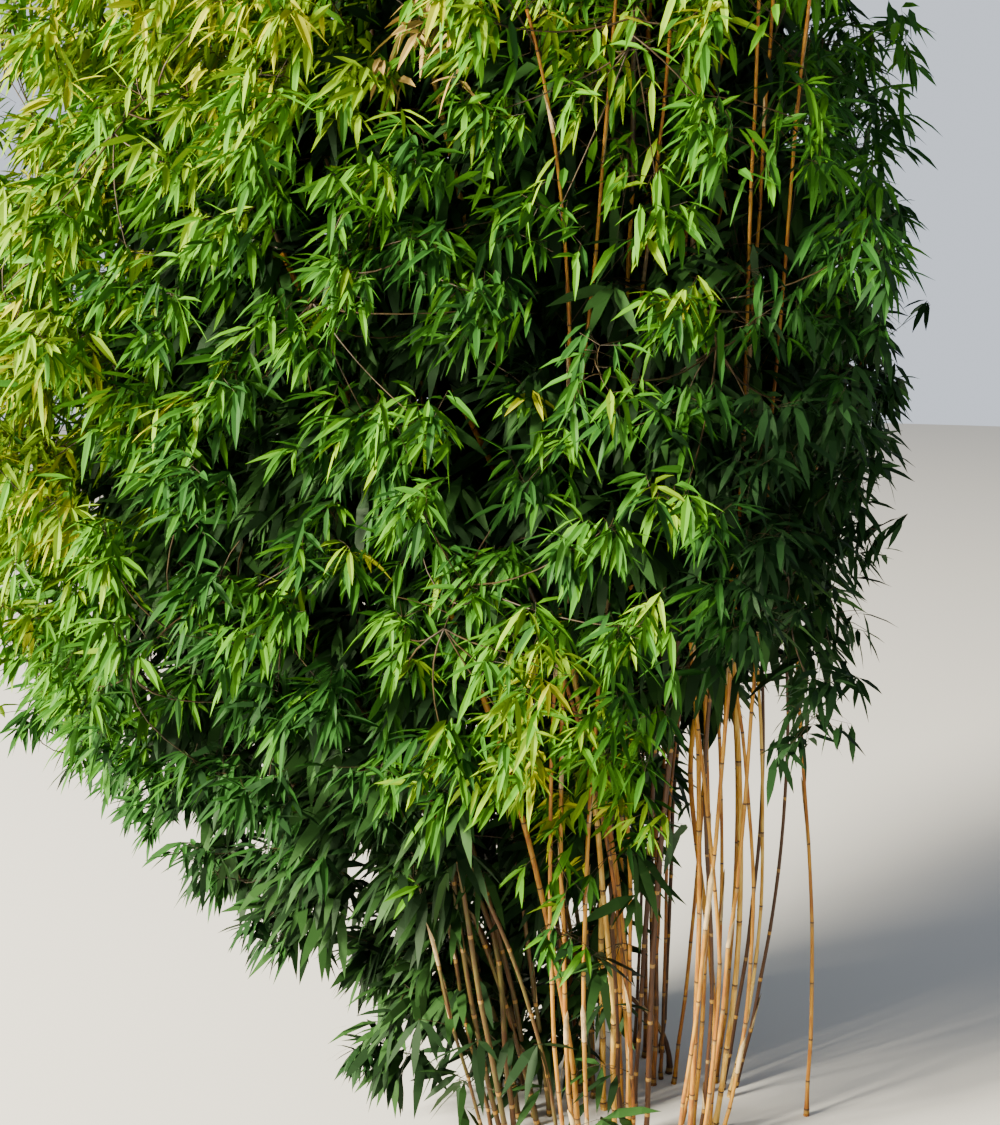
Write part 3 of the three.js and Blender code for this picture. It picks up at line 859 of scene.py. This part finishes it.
def piece_from_arrays(name, vertices, corners, sizes, material, smooth):
    """A mesh object from its vertices, its faces' corners in a row, and how many each face has."""
    mesh = bpy.data.meshes.new(name)
    mesh.vertices.add(len(vertices))
    mesh.vertices.foreach_set("co", np.asarray(vertices, np.float32).ravel())
    mesh.loops.add(len(corners))
    mesh.loops.foreach_set("vertex_index", np.asarray(corners, np.int32))
    mesh.polygons.add(len(sizes))
    starts = np.concatenate([[0], np.cumsum(sizes)[:-1]])
    mesh.polygons.foreach_set("loop_start", np.asarray(starts, np.int32))
    mesh.polygons.foreach_set("use_smooth", np.full(len(sizes), smooth))
    mesh.update(calc_edges=True)
    mesh.validate()
    mesh.materials.append(material)
    piece = bpy.data.objects.new(name, mesh)
    bpy.context.scene.collection.objects.link(piece)
    return piece


def dress(piece, nodes=()):
    """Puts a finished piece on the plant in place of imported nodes."""
    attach(piece, "root")
    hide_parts(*nodes)


def limb_piece(name, shapes, material, nodes=()):
    """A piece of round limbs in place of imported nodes, cut off flat at the ground."""
    vertices, faces = joined(shapes)
    vertices = np.clip(vertices, LOWEST_PACKED, HIGHEST_PACKED)
    sizes = np.full(len(faces), 4)
    dress(piece_from_arrays(name, vertices, faces.ravel(), sizes, material, True), nodes)


def leaf_arrays(roots, directions, lefts, lengths, widths, droops, plain=False):
    """Long pointed leaves, folded along the middle, or flat ones of fewer faces."""
    stations, halves = LEAF_STATIONS[None, :, None], LEAF_HALVES[None, :, None]
    normals = np.cross(directions, lefts)
    middles = roots[:, None] + directions[:, None] * (lengths[:, None, None] * stations)
    middles = middles - UP * (droops * lengths)[:, None, None] * stations**2
    edge = widths[:, None, None] * halves
    lift = normals[:, None] * edge * LEAF_FOLD
    left = middles + lefts[:, None] * edge + lift
    right = middles - lefts[:, None] * edge + lift
    order = [middles[:, 0], left[:, 1], middles[:, 1], right[:, 1]]
    order += [left[:, 2], middles[:, 2], right[:, 2], middles[:, 3]]
    vertices = np.stack(order, 1)
    if plain:
        vertices = vertices[:, PLAIN_LEAF]
        pattern, sizes = [0, 2, 1, 1, 2, 4, 3, 3, 4, 5], [3, 4, 3]
    else:
        pattern = [0, 3, 2, 0, 2, 1, 3, 6, 5, 2, 2, 5, 4, 1, 6, 7, 5, 5, 7, 4]
        sizes = [3, 3, 4, 4, 3, 3]
    starts = vertices.shape[1] * np.arange(len(roots))[:, None]
    corners = (starts + np.array(pattern)).ravel()
    return vertices.reshape(-1, 3), corners, np.tile(sizes, len(roots))


def turned(vectors, angles):
    """Directions turned about the upright axis."""
    cos, sin = np.cos(angles), np.sin(angles)
    x, y, z = vectors.T
    return np.stack([x * cos - y * sin, x * sin + y * cos, z], 1)


def spray_leaves(twiglets, leaf_length, leaf_width, random):
    """Every leaf of every spray: they alternate to both sides of a twiglet's end and hang."""
    count = len(twiglets)
    tips = twiglets[:, 1]
    ends = tips - twiglets[:, 0]
    outward = unit(tips * [1, 1, 0] + [0, 0, 1e-6])
    heading = HEADING_ALONG * unit(ends * [1, 1, 0]) + HEADING_OUT * outward + HEADING_LEAN
    heading = unit((heading + random.normal(0, HEADING_CHANCE, (count, 3))) * [1, 1, 0])
    low, high = LEAVES_ON_SPRAY
    numbers = random.integers(low, high + 1, count)
    leaves = []
    for place in range(high):
        chosen = np.flatnonzero(numbers > place)
        some = len(chosen)
        size = random.uniform(*LEAF_SIZES, some) * (1 - SHORTER_EACH * place)
        side = 0 if place == 0 else (1 if place % 2 else -1)
        fan = side * np.radians(FAN_FIRST + FAN_EACH * place) + random.normal(0, FAN_CHANCE, some)
        level = turned(heading[chosen], fan)
        pitch = np.radians(random.normal(*LEAF_PITCH, some))[:, None]
        direction = level * np.cos(pitch) - UP * np.sin(pitch)
        flat = unit(np.cross(UP, level))
        roll = np.radians(random.normal(*LEAF_ROLL, some))[:, None]
        left = flat * np.cos(roll) + np.cross(direction, flat) * np.sin(roll)
        root = tips[chosen] - ends[chosen] * LEAF_STEP * place
        droop = random.uniform(*LEAF_DROOPS, some)
        leaves.append((chosen, root, direction, left, leaf_length * size, leaf_width * size, droop))
    return [np.concatenate(parts) for parts in zip(*leaves)]


def shader_material(name, roughness, specular=0.5):
    """A new material and its shader, with constant values set on the shader itself."""
    material = bpy.data.materials.new(name)
    material.use_nodes = True
    shader = material.node_tree.nodes["Principled BSDF"]
    shader.inputs["Roughness"].default_value = roughness
    shader.inputs["Specular IOR Level"].default_value = specular
    return material, shader


def leaf_material(name, colour):
    """Leaves of one tint."""
    material, shader = shader_material(name, roughness=0.55, specular=0.1)
    shader.inputs["Base Color"].default_value = (*colour, 1)
    return material


def link(tree, table):
    """Links a node's output to another node's input for each row of a table."""
    for source, output, target, socket in table:
        tree.links.new(source.outputs[output], target.inputs[socket])


def node(tree, kind, values=(), **choices):
    """A new node with its choices made and some of its inputs set."""
    new = tree.nodes.new(kind)
    for name, choice in choices.items():
        setattr(new, name, choice)
    for socket, value in dict(values).items():
        new.inputs[socket].default_value = value
    return new


def bark_group():
    """Node group shared by canes, joints and twigs: two colours in streaks along the cane."""
    group = bpy.data.node_groups.get("cane_skin")
    if group:
        return group
    group = bpy.data.node_groups.new("cane_skin", "ShaderNodeTree")
    for name, in_out, kind in [
        ("Light", "INPUT", "Color"), ("Dark", "INPUT", "Color"), ("Streaks", "INPUT", "Float"),
        ("Blotches", "INPUT", "Float"), ("Colour", "OUTPUT", "Color"),
        ("Roughness", "OUTPUT", "Float"), ("Height", "OUTPUT", "Float"),
    ]:
        group.interface.new_socket(name, in_out=in_out, socket_type=f"NodeSocket{kind}")
    given, result = node(group, "NodeGroupInput"), node(group, "NodeGroupOutput")
    place = node(group, "ShaderNodeTexCoord")
    stretch = node(group, "ShaderNodeVectorMath", {1: (1, 1, 0.06)}, operation="MULTIPLY")
    streaks = node(group, "ShaderNodeTexNoise", {"Detail": 3})
    blotches = node(group, "ShaderNodeTexNoise", {"Detail": 2})
    both = node(group, "ShaderNodeMath", operation="ADD")
    share = node(group, "ShaderNodeMapRange", {"From Min": 0.84, "From Max": 1.12})
    mix = node(group, "ShaderNodeMix", data_type="RGBA")
    gloss = node(group, "ShaderNodeMapRange", {"To Min": 0.55, "To Max": 0.32})
    link(group, [
        (place, "Object", stretch, 0), (stretch, 0, streaks, "Vector"),
        (given, "Streaks", streaks, "Scale"), (streaks, "Fac", result, "Height"),
        (place, "Object", blotches, "Vector"), (given, "Blotches", blotches, "Scale"),
        (streaks, "Fac", both, 0), (blotches, "Fac", both, 1),
        (both, 0, share, "Value"), (share, "Result", mix, "Factor"),
        (given, "Dark", mix, "A"), (given, "Light", mix, "B"), (mix, "Result", result, "Colour"),
        (blotches, "Fac", gloss, "Value"), (gloss, "Result", result, "Roughness"),
    ])
    return group


def bark_material(name, light, dark, streaks, blotches, relief):
    """Cane or twig skin in two colours."""
    material, shader = shader_material(name, roughness=0.45, specular=0.3)
    tree = material.node_tree
    values = {"Light": (*light, 1), "Dark": (*dark, 1), "Streaks": streaks, "Blotches": blotches}
    skin = node(tree, "ShaderNodeGroup", values, node_tree=bark_group())
    bump = node(tree, "ShaderNodeBump", {"Strength": 0.5, "Distance": relief})
    link(tree, [
        (skin, "Height", bump, "Height"), (bump, "Normal", shader, "Normal"),
        (skin, "Colour", shader, "Base Color"), (skin, "Roughness", shader, "Roughness"),
    ])
    return material


class CaneShape:
    """A cane's middle line by distance from the ground, with its joints and its girth."""

    def __init__(self, cane, random):
        self.points = bezier(cane.controls, np.linspace(0, 1, CANE_STATIONS))
        steps = np.linalg.norm(np.diff(self.points, axis=0), axis=1)
        self.distance = np.concatenate([[0], np.cumsum(steps)])
        self.length = self.distance[-1]
        self.girth = random.uniform(*(GIRTHS if cane.foot.tip is None else FRONT_GIRTHS))
        self.tip_radius = min(cane.tip_radius, CANE_RADIUS * self.girth)
        self.joints = self.joint_distances(random)
        self.offsets = random.normal(0, JOINT_OFFSET, (len(self.joints), 3)) * [1, 1, 0]
        self.offsets[0] = 0

    def joint_distances(self, random):
        """How far up the cane its joints are: close together at the foot, then farther apart."""
        shares, spacings = zip(*JOINT_SPACINGS)
        joints = [0.0, FIRST_JOINT]
        while joints[-1] < self.length:
            spacing = np.interp(joints[-1] / self.length, shares, spacings)
            joints.append(joints[-1] + spacing * random.uniform(*SPACING_CHANCE))
        return np.array(joints[:-1])

    def at(self, distance):
        """Middle of the cane at distances up it, bent a little at each joint."""
        middle = [np.interp(distance, self.distance, self.points[:, i]) for i in range(3)]
        bend = [np.interp(distance, self.joints, self.offsets[:, i]) for i in range(3)]
        return np.stack(middle, -1) + np.stack(bend, -1)

    def radius(self, distance):
        """Radius of the cane between its joints, swollen at the foot."""
        share = np.asarray(distance) / self.length
        plain = CANE_RADIUS * self.girth * (1 - share) + self.tip_radius * share
        return plain * (1 + FOOT_SWELL * np.exp(-np.asarray(distance) / FOOT_SWELL_HEIGHT))

    def bands(self, starts, ends, swells):
        """Short stretches of the cane as one shape, each with its own row of swellings."""
        shares = np.linspace(0, 1, len(swells))
        distances = starts[:, None] + (ends - starts)[:, None] * shares
        return tube(self.at(distances), self.radius(distances) * np.array(swells), CANE_SIDES)

    def sheath(self, low, high, random):
        """A torn, pointed wrap round the cane between two distances, standing off at its tip."""
        up = np.linspace(0, 1, SHEATH_ROWS)[:, None]
        distances = low + (high - low) * up[:, 0]
        half = math.radians(random.uniform(*SHEATH_HALF_TURNS)) * (1 - up) ** SHEATH_POINTEDNESS
        half += SHEATH_TIP_HALF
        angles = random.uniform(0, 2 * math.pi) + half * np.linspace(-1, 1, SHEATH_COLUMNS)
        off = self.radius(distances)[:, None] * SHEATH_GIRTH + SHEATH_GAP
        off = off + random.uniform(*SHEATH_STANDS_OFF) * up**2
        ring = np.stack([np.cos(angles), np.sin(angles), np.zeros_like(angles)], -1)
        corner = np.arange(SHEATH_ROWS * SHEATH_COLUMNS).reshape(SHEATH_ROWS, SHEATH_COLUMNS)
        faces = np.stack([corner[:-1, :-1], corner[:-1, 1:], corner[1:, 1:], corner[1:, :-1]], -1)
        vertices = self.at(distances)[:, None] + off[..., None] * ring
        return vertices.reshape(-1, 3), faces.reshape(-1, 4)


@functools.cache
def cane_shapes():
    """Every cane with its joints, in the order that the canes grew."""
    random = np.random.default_rng(SEED + 2)
    return [CaneShape(cane, random) for cane in grown_canes()]


def in_box(points):
    """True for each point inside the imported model's box."""
    above, below = points > LOWEST_PACKED + BOX_MARGIN, points < HIGHEST_PACKED - BOX_MARGIN
    return (above & below).all(-1)


def colour_setting(name, description, default):
    """A colour that a user may change."""
    return bpy.props.FloatVectorProperty(
        name=name, description=description, default=default, subtype="COLOR", size=3, min=0, max=1
    )


def length_setting(name, description, default, least):
    """A length in metres that a user may change."""
    return bpy.props.FloatProperty(
        name=name, description=description, default=default, min=least, unit="LENGTH"
    )


class CaneSettings(bpy.types.PropertyGroup):
    """Colours of the canes."""

    golden: colour_setting("Golden", "Sunlit ripe cane", (0.43, 0.215, 0.018))
    cream: colour_setting("Cream", "Palest ripe cane", (0.6, 0.4, 0.09))
    amber: colour_setting("Amber", "Warmer patches on ripe canes", (0.26, 0.09, 0.008))
    russet: colour_setting("Russet", "Red-brown canes in the shade", (0.075, 0.03, 0.008))
    # Olive is partly the canes' own dull colour and partly painted shade on the left.
    olive: colour_setting("Olive", "Young canes on the leaning side", (0.085, 0.07, 0.014))
    joint: colour_setting("Joint", "Dark ring at each joint", (0.05, 0.02, 0.01))
    sheath: colour_setting("Sheath", "Dry papery sheaths left on the canes", (0.58, 0.42, 0.2))
    bloom: colour_setting("Bloom", "Waxy pale band below each joint", (0.24, 0.15, 0.05))


class FoliageSettings(bpy.types.PropertyGroup):
    """Sizes of the crown's leaves and twigs."""

    sprays: bpy.props.IntProperty(
        name="Sprays", description="Fans of leaves in the whole crown", default=22000, min=500,
    )
    leaf_length: length_setting("Leaf length", "Length of a full-grown leaf", 0.05, 0.01)
    leaf_width: length_setting("Leaf width", "Width of a full-grown leaf", 0.0094, 0.002)
    bough_radius: length_setting(
        "Branch radius", "Radius of a branch where it leaves its stem", 0.0014, 0.0005
    )
    twig: colour_setting("Twig", "Colour of branches and twigs", (0.055, 0.036, 0.013))


class StageSettings(bpy.types.PropertyGroup):
    """Floor, light and camera."""

    floor: colour_setting("Floor", "Colour of the plain floor", (0.8, 0.79, 0.77))
    key_strength: bpy.props.FloatProperty(
        name="Key light", description="Power of the large soft light", default=9000, unit="POWER",
    )
    fill_strength: bpy.props.FloatProperty(
        name="Fill light", description="Brightness of the light from all round", default=0.36,
    )


def cane_skin(foot, random):
    """Which colour a cane has: dull olive towards the left, partly painted shade, and pale ripe
    ones towards the front and right, painted sunlight; the foremost canes golden, painted sunlight.
    """
    x, y, _ = foot.place
    # The foremost canes all get golden, painted sunlight.
    if foot.tip is not None:
        return "golden"
    if random.uniform(SHADED_OLIVE_BEYOND, SHADED_OLIVE_FROM) > x:
        return "olive"
    # Darker behind is painted shade and paler on the right is painted sunlight.
    draw = random.random() + SHADED_DARKER_BEHIND * (y - SHADE_BEHIND_FROM) - SUNLIT_PALER_ON_RIGHT * max(x, 0)
    shares = np.cumsum([share for _, share in RIPE[:-1]])
    return RIPE[int((draw > shares).sum())][0]


class BAMBOO_OT_canes(bpy.types.Operator):
    """Build the canes with their joints"""

    bl_idname = "bamboo.canes"
    bl_label = "Build canes"

    def execute(self, context):
        settings = context.scene.bamboo_canes
        colours = {
            "cream": (settings.cream, settings.golden),
            "golden": (settings.golden, settings.amber),
            "amber": (settings.amber, settings.russet),
            "russet": (settings.russet, settings.joint),
            "olive": (settings.olive, settings.russet),
        }
        shapes = {name: [] for name in colours}
        nodes = {name: set() for name in colours}
        joints, blooms = [], []
        random = np.random.default_rng(SEED + 5)
        for cane, shape in zip(grown_canes(), cane_shapes()):
            name = cane_skin(cane.foot, random)
            tuft = cane.foot.tuft
            nodes[name].add("lone_cane" if tuft == TUFTS else f"cane_tuft_{tuft + 1:02d}")
            starts, ends = shape.joints, np.append(shape.joints[1:], shape.length)
            shapes[name].append(shape.bands(starts, ends, LENGTH_SWELLS))
            upper = shape.joints[1:]
            low, high = upper - JOINT_HALF_HEIGHT, upper + JOINT_HALF_HEIGHT
            joints.append(shape.bands(low, high, JOINT_SWELLS))
            blooms.append(shape.bands(upper - BLOOM_FROM, upper - BLOOM_TO, BLOOM_SWELLS))
        for name, (light, dark) in colours.items():
            skin = bark_material(f"{name}_cane", light, dark, *CANE_GRAIN)
            limb_piece(f"canes_{name}", shapes[name], skin, sorted(nodes[name]))
        skin = bark_material("cane_joint", settings.russet, settings.joint, *JOINT_GRAIN)
        limb_piece("cane_joints", joints, skin)
        skin = bark_material("cane_bloom", settings.bloom, settings.golden, *BLOOM_GRAIN)
        limb_piece("cane_bloom_bands", blooms, skin)
        return {"FINISHED"}


class BAMBOO_OT_sheaths(bpy.types.Operator):
    """Build the dry sheaths that still wrap some lengths of cane"""

    bl_idname = "bamboo.sheaths"
    bl_label = "Build sheaths"

    def execute(self, context):
        settings = context.scene.bamboo_canes
        random = np.random.default_rng(SEED + 4)
        sheaths = []
        for cane, shape in zip(grown_canes(), cane_shapes()):
            wrapped = SHEATHED_IN_FRONT if cane.foot.tip is not None else SHEATHED
            for low, high in zip(shape.joints[2:-1], shape.joints[3:]):
                if random.random() < wrapped:
                    high = low + (high - low) * random.uniform(*SHEATH_LENGTHS)
                    sheaths.append(shape.sheath(low, high, random))
        dark = [SHEATH_SHADE * part for part in settings.sheath]
        skin = bark_material("papery_sheath", settings.sheath, dark, *SHEATH_GRAIN)
        limb_piece("cane_sheaths", sheaths, skin)
        return {"FINISHED"}


class BAMBOO_OT_branches(bpy.types.Operator):
    """Build the stems, branches and twigs of the crown"""

    bl_idname = "bamboo.branches"
    bl_label = "Build branches"

    def execute(self, context):
        settings = context.scene.bamboo_foliage
        growth = grown_crown(settings.sprays)
        dark = [TWIG_SHADE * part for part in settings.twig]
        material = bark_material("twig_bark", settings.twig, dark, *TWIG_GRAIN)
        along = np.linspace(STEMS_FROM, 1, STEM_POINTS)
        stems = np.array([bezier(mass.stem, along) for mass in grown_masses()])
        radius = settings.bough_radius
        for name, paths, scale, radii, sides, nodes in [
            ("crown_stems", stems, 1, STEM_RADII, 6, FOLIAGE_NODES),
            ("branches", growth.boughs, radius, BOUGH_TAPER, 4, ()),
            ("twigs", growth.twigs, radius, TWIG_TAPER, 3, ()),
            ("twiglets", growth.twiglets, radius, TWIGLET_TAPER, 3, ()),
        ]:
            count, points, _ = paths.shape
            girths = scale * np.linspace(*radii, points)
            limb_piece(name, [tube(paths, girths[None].repeat(count, 0), sides)], material, nodes)
        return {"FINISHED"}


def painted_light_by_place(points):
    """How much painted sunlight or painted shade sprays get for their place on the plant."""
    x, z = points[:, 0], points[:, 2]
    light = np.zeros(len(points))
    for change, heights, places in PAINTED_LIGHT_PARTS:
        light += change * (ramp(z, *heights) * ramp(x, *places))
    for across, up, half_width, half_height, change in PAINTED_LIGHT_PATCHES:
        away = ((x - across) / half_width) ** 2 + ((z - up) / half_height) ** 2
        light += change * np.exp(-away)
    return light


def dealt(scores, tints):
    """Which tint each spray gets when the highest scores get the first tint."""
    rank = scores.argsort().argsort() / len(scores)
    edges = 1 - np.cumsum([share for _, share, _ in tints])
    return (rank[:, None] < edges[None]).sum(1)


def spray_tints(growth, random):
    """Which tint each spray has, painted sunnier or more shaded by place, and how much longer than
    an outer leaf its leaves are.
    """
    tips = growth.twiglets[:, 1]
    # Sprays towards the sun score higher and get the painted sunlit tints.
    exposure = (tips - CROWN_MIDDLE) @ unit(SUNWARD * SUN_WEIGHTS) / SUN_REACH
    under_top = ramp(tips[:, 2], PLANT_HEIGHT - 3 * TOP_LAYER, PLANT_HEIGHT - TOP_LAYER)
    depth = np.maximum(crown_depth(tips), under_top)
    by_bough = random.normal(0, BOUGH_CHANCE, growth.bough_of_spray.max() + 1)
    # Depth in the crown raises the score towards the outside: painted shade deeper in.
    score = np.minimum(exposure, FULL_SUN) + DEPTH_WEIGHT * np.minimum(depth, 1)
    score += by_bough[growth.bough_of_spray]
    # Painted sunlight and painted shade for the spray's place on the plant.
    light = painted_light_by_place(tips)
    score += random.normal(0, SPRAY_CHANCE, len(tips)) + light
    # Sprays deep in the crown get the painted shade tints of the inside, fewer where the place is
    # painted sunlit.
    inner_shade = depth < INNER_BELOW - LIT_INWARD * ramp(light, *LIT_FROM)
    tint = np.empty(len(tips), int)
    tint[~inner_shade] = dealt(score[~inner_shade], SUN_TO_SHADE_TINTS)
    tint[inner_shade] = len(SUN_TO_SHADE_TINTS) + dealt(random.random(inner_shade.sum()), INNER_SHADE_TINTS)
    in_tuft = (((tips - DRY_TUFT) / DRY_REACH) ** 2).sum(1) < 1
    tint[in_tuft & (random.random(len(tips)) < DRY_SHARE)] = len(SUN_TO_SHADE_TINTS + INNER_SHADE_TINTS)
    rear = 1 + (REAR_LEAF - 1) * ramp(tips[:, 1], *REAR_FROM)
    return tint, np.where(inner_shade, INNER_LEAF, rear)


class BAMBOO_OT_leaves(bpy.types.Operator):
    """Build the leaves, one piece for each tint"""

    bl_idname = "bamboo.leaves"
    bl_label = "Build leaves"

    def execute(self, context):
        settings = context.scene.bamboo_foliage
        growth = grown_crown(settings.sprays)
        random = np.random.default_rng(SEED + 3)
        leaves = spray_leaves(growth.twiglets, settings.leaf_length, settings.leaf_width, random)
        tint, scale = spray_tints(growth, random)
        tint, scale = tint[leaves[0]], scale[leaves[0]]
        leaves[4], leaves[5] = leaves[4] * scale, leaves[5] * scale
        vertices = leaf_arrays(*leaves[1:])[0].reshape(-1, 8, 3)
        hiding = np.any([before_front_canes(vertices[:, i]) for i in ALONG_FOLD], axis=0)
        kept = in_box(vertices).all(1) & ~(hiding & (random.random(len(hiding)) < OPEN_SHARE))
        # Each tint but the dry straw carries painted sunlight or painted shade along with the
        # leaves' own greens.
        for index, (name, _, colour) in enumerate([*SUN_TO_SHADE_TINTS, *INNER_SHADE_TINTS, DRY_TINT]):
            chosen = (tint == index) & kept
            arrays = leaf_arrays(*(part[chosen] for part in leaves[1:]), name in FLAT_TINTS)
            material = leaf_material(f"leaf_{name}", colour)
            piece = piece_from_arrays(f"leaves_{name}", *arrays, material, False)
            dress(piece, FOLIAGE_NODES)
        return {"FINISHED"}


class BAMBOO_OT_stage(bpy.types.Operator):
    """Build the floor, the light and the camera"""

    bl_idname = "bamboo.stage"
    bl_label = "Build stage"

    def execute(self, context):
        settings = context.scene.bamboo_stage
        scene = context.scene
        turns = np.linspace(0, 2 * math.pi, FLOOR_CORNERS + 1)[:-1]
        corners = FLOOR_RADIUS * np.stack([np.cos(turns), np.sin(turns), 0 * turns], 1)
        material, shader = shader_material("pale_floor", roughness=0.9)
        shader.inputs["Base Color"].default_value = (*settings.floor, 1)
        floor = piece_from_arrays(
            "floor", corners, range(FLOOR_CORNERS), [FLOOR_CORNERS], material, False
        )
        floor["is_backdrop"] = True

        light = bpy.data.lights.new("key", "AREA")
        light.energy, light.color, light.size = settings.key_strength, KEY_COLOUR, KEY_SIZE
        key = bpy.data.objects.new("key", light)
        key.location = KEY_AIM + KEY_DISTANCE * unit(SUNWARD)
        key.rotation_euler = (-Vector(SUNWARD)).to_track_quat("-Z", "Y").to_euler()
        scene.collection.objects.link(key)

        world = bpy.data.worlds.new("studio")
        world.use_nodes = True
        tree = world.node_tree
        background = tree.nodes["Background"]
        background.inputs["Color"].default_value = SKY_COLOUR
        seen = node(tree, "ShaderNodeLightPath")
        values = {"To Min": settings.fill_strength, "To Max": 1}
        strength = node(tree, "ShaderNodeMapRange", values)
        link(tree, [
            (seen, "Is Camera Ray", strength, "Value"),
            (strength, "Result", background, "Strength"),
        ])
        scene.world = world

        lens = bpy.data.cameras.new("camera")
        lens.lens, lens.sensor_width = FOCAL_LENGTH, SENSOR_WIDTH
        camera = bpy.data.objects.new("camera", lens)
        camera.location = CAMERA_PLACE
        camera.rotation_euler = (math.radians(90 - CAMERA_DOWN), 0, 0)
        scene.collection.objects.link(camera)
        scene.camera = camera
        return {"FINISHED"}


class BAMBOO_PT_panel(bpy.types.Panel):
    """Lists the settings and the operators"""

    bl_label = "Garden Bamboo"
    bl_idname = "BAMBOO_PT_panel"
    bl_space_type = "VIEW_3D"
    bl_region_type = "UI"
    bl_category = "Bamboo"

    def draw(self, context):
        """Puts each size, each colour and each operator on a line of its own."""
        layout = self.layout
        for group, kind in SETTINGS.items():
            for name in kind.__annotations__:
                layout.prop(getattr(context.scene, group), name)
        for operator in OPERATORS:
            layout.operator(operator.bl_idname)


OPERATORS = [
    BAMBOO_OT_canes, BAMBOO_OT_sheaths, BAMBOO_OT_branches, BAMBOO_OT_leaves, BAMBOO_OT_stage,
]
SETTINGS = {
    "bamboo_canes": CaneSettings, "bamboo_foliage": FoliageSettings, "bamboo_stage": StageSettings,
}


def register():
    """Adds the classes, and the settings to the scene."""
    for kind in [*SETTINGS.values(), *OPERATORS, BAMBOO_PT_panel]:
        bpy.utils.register_class(kind)
    for name, kind in SETTINGS.items():
        setattr(bpy.types.Scene, name, bpy.props.PointerProperty(type=kind))


def unregister():
    """Takes away all that register adds."""
    for name in SETTINGS:
        delattr(bpy.types.Scene, name)
    for kind in reversed([*SETTINGS.values(), *OPERATORS, BAMBOO_PT_panel]):
        bpy.utils.unregister_class(kind)


def main():
    """Builds every piece."""
    register()
    bpy.ops.bamboo.canes()
    bpy.ops.bamboo.sheaths()
    bpy.ops.bamboo.branches()
    bpy.ops.bamboo.leaves()
    bpy.ops.bamboo.stage()
    sizes = {"packed": PACKED_BOX, "visual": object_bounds()}
    {name: [list(corner) for corner in box] for name, box in sizes.items()}


if __name__ == "__main__":
    main()
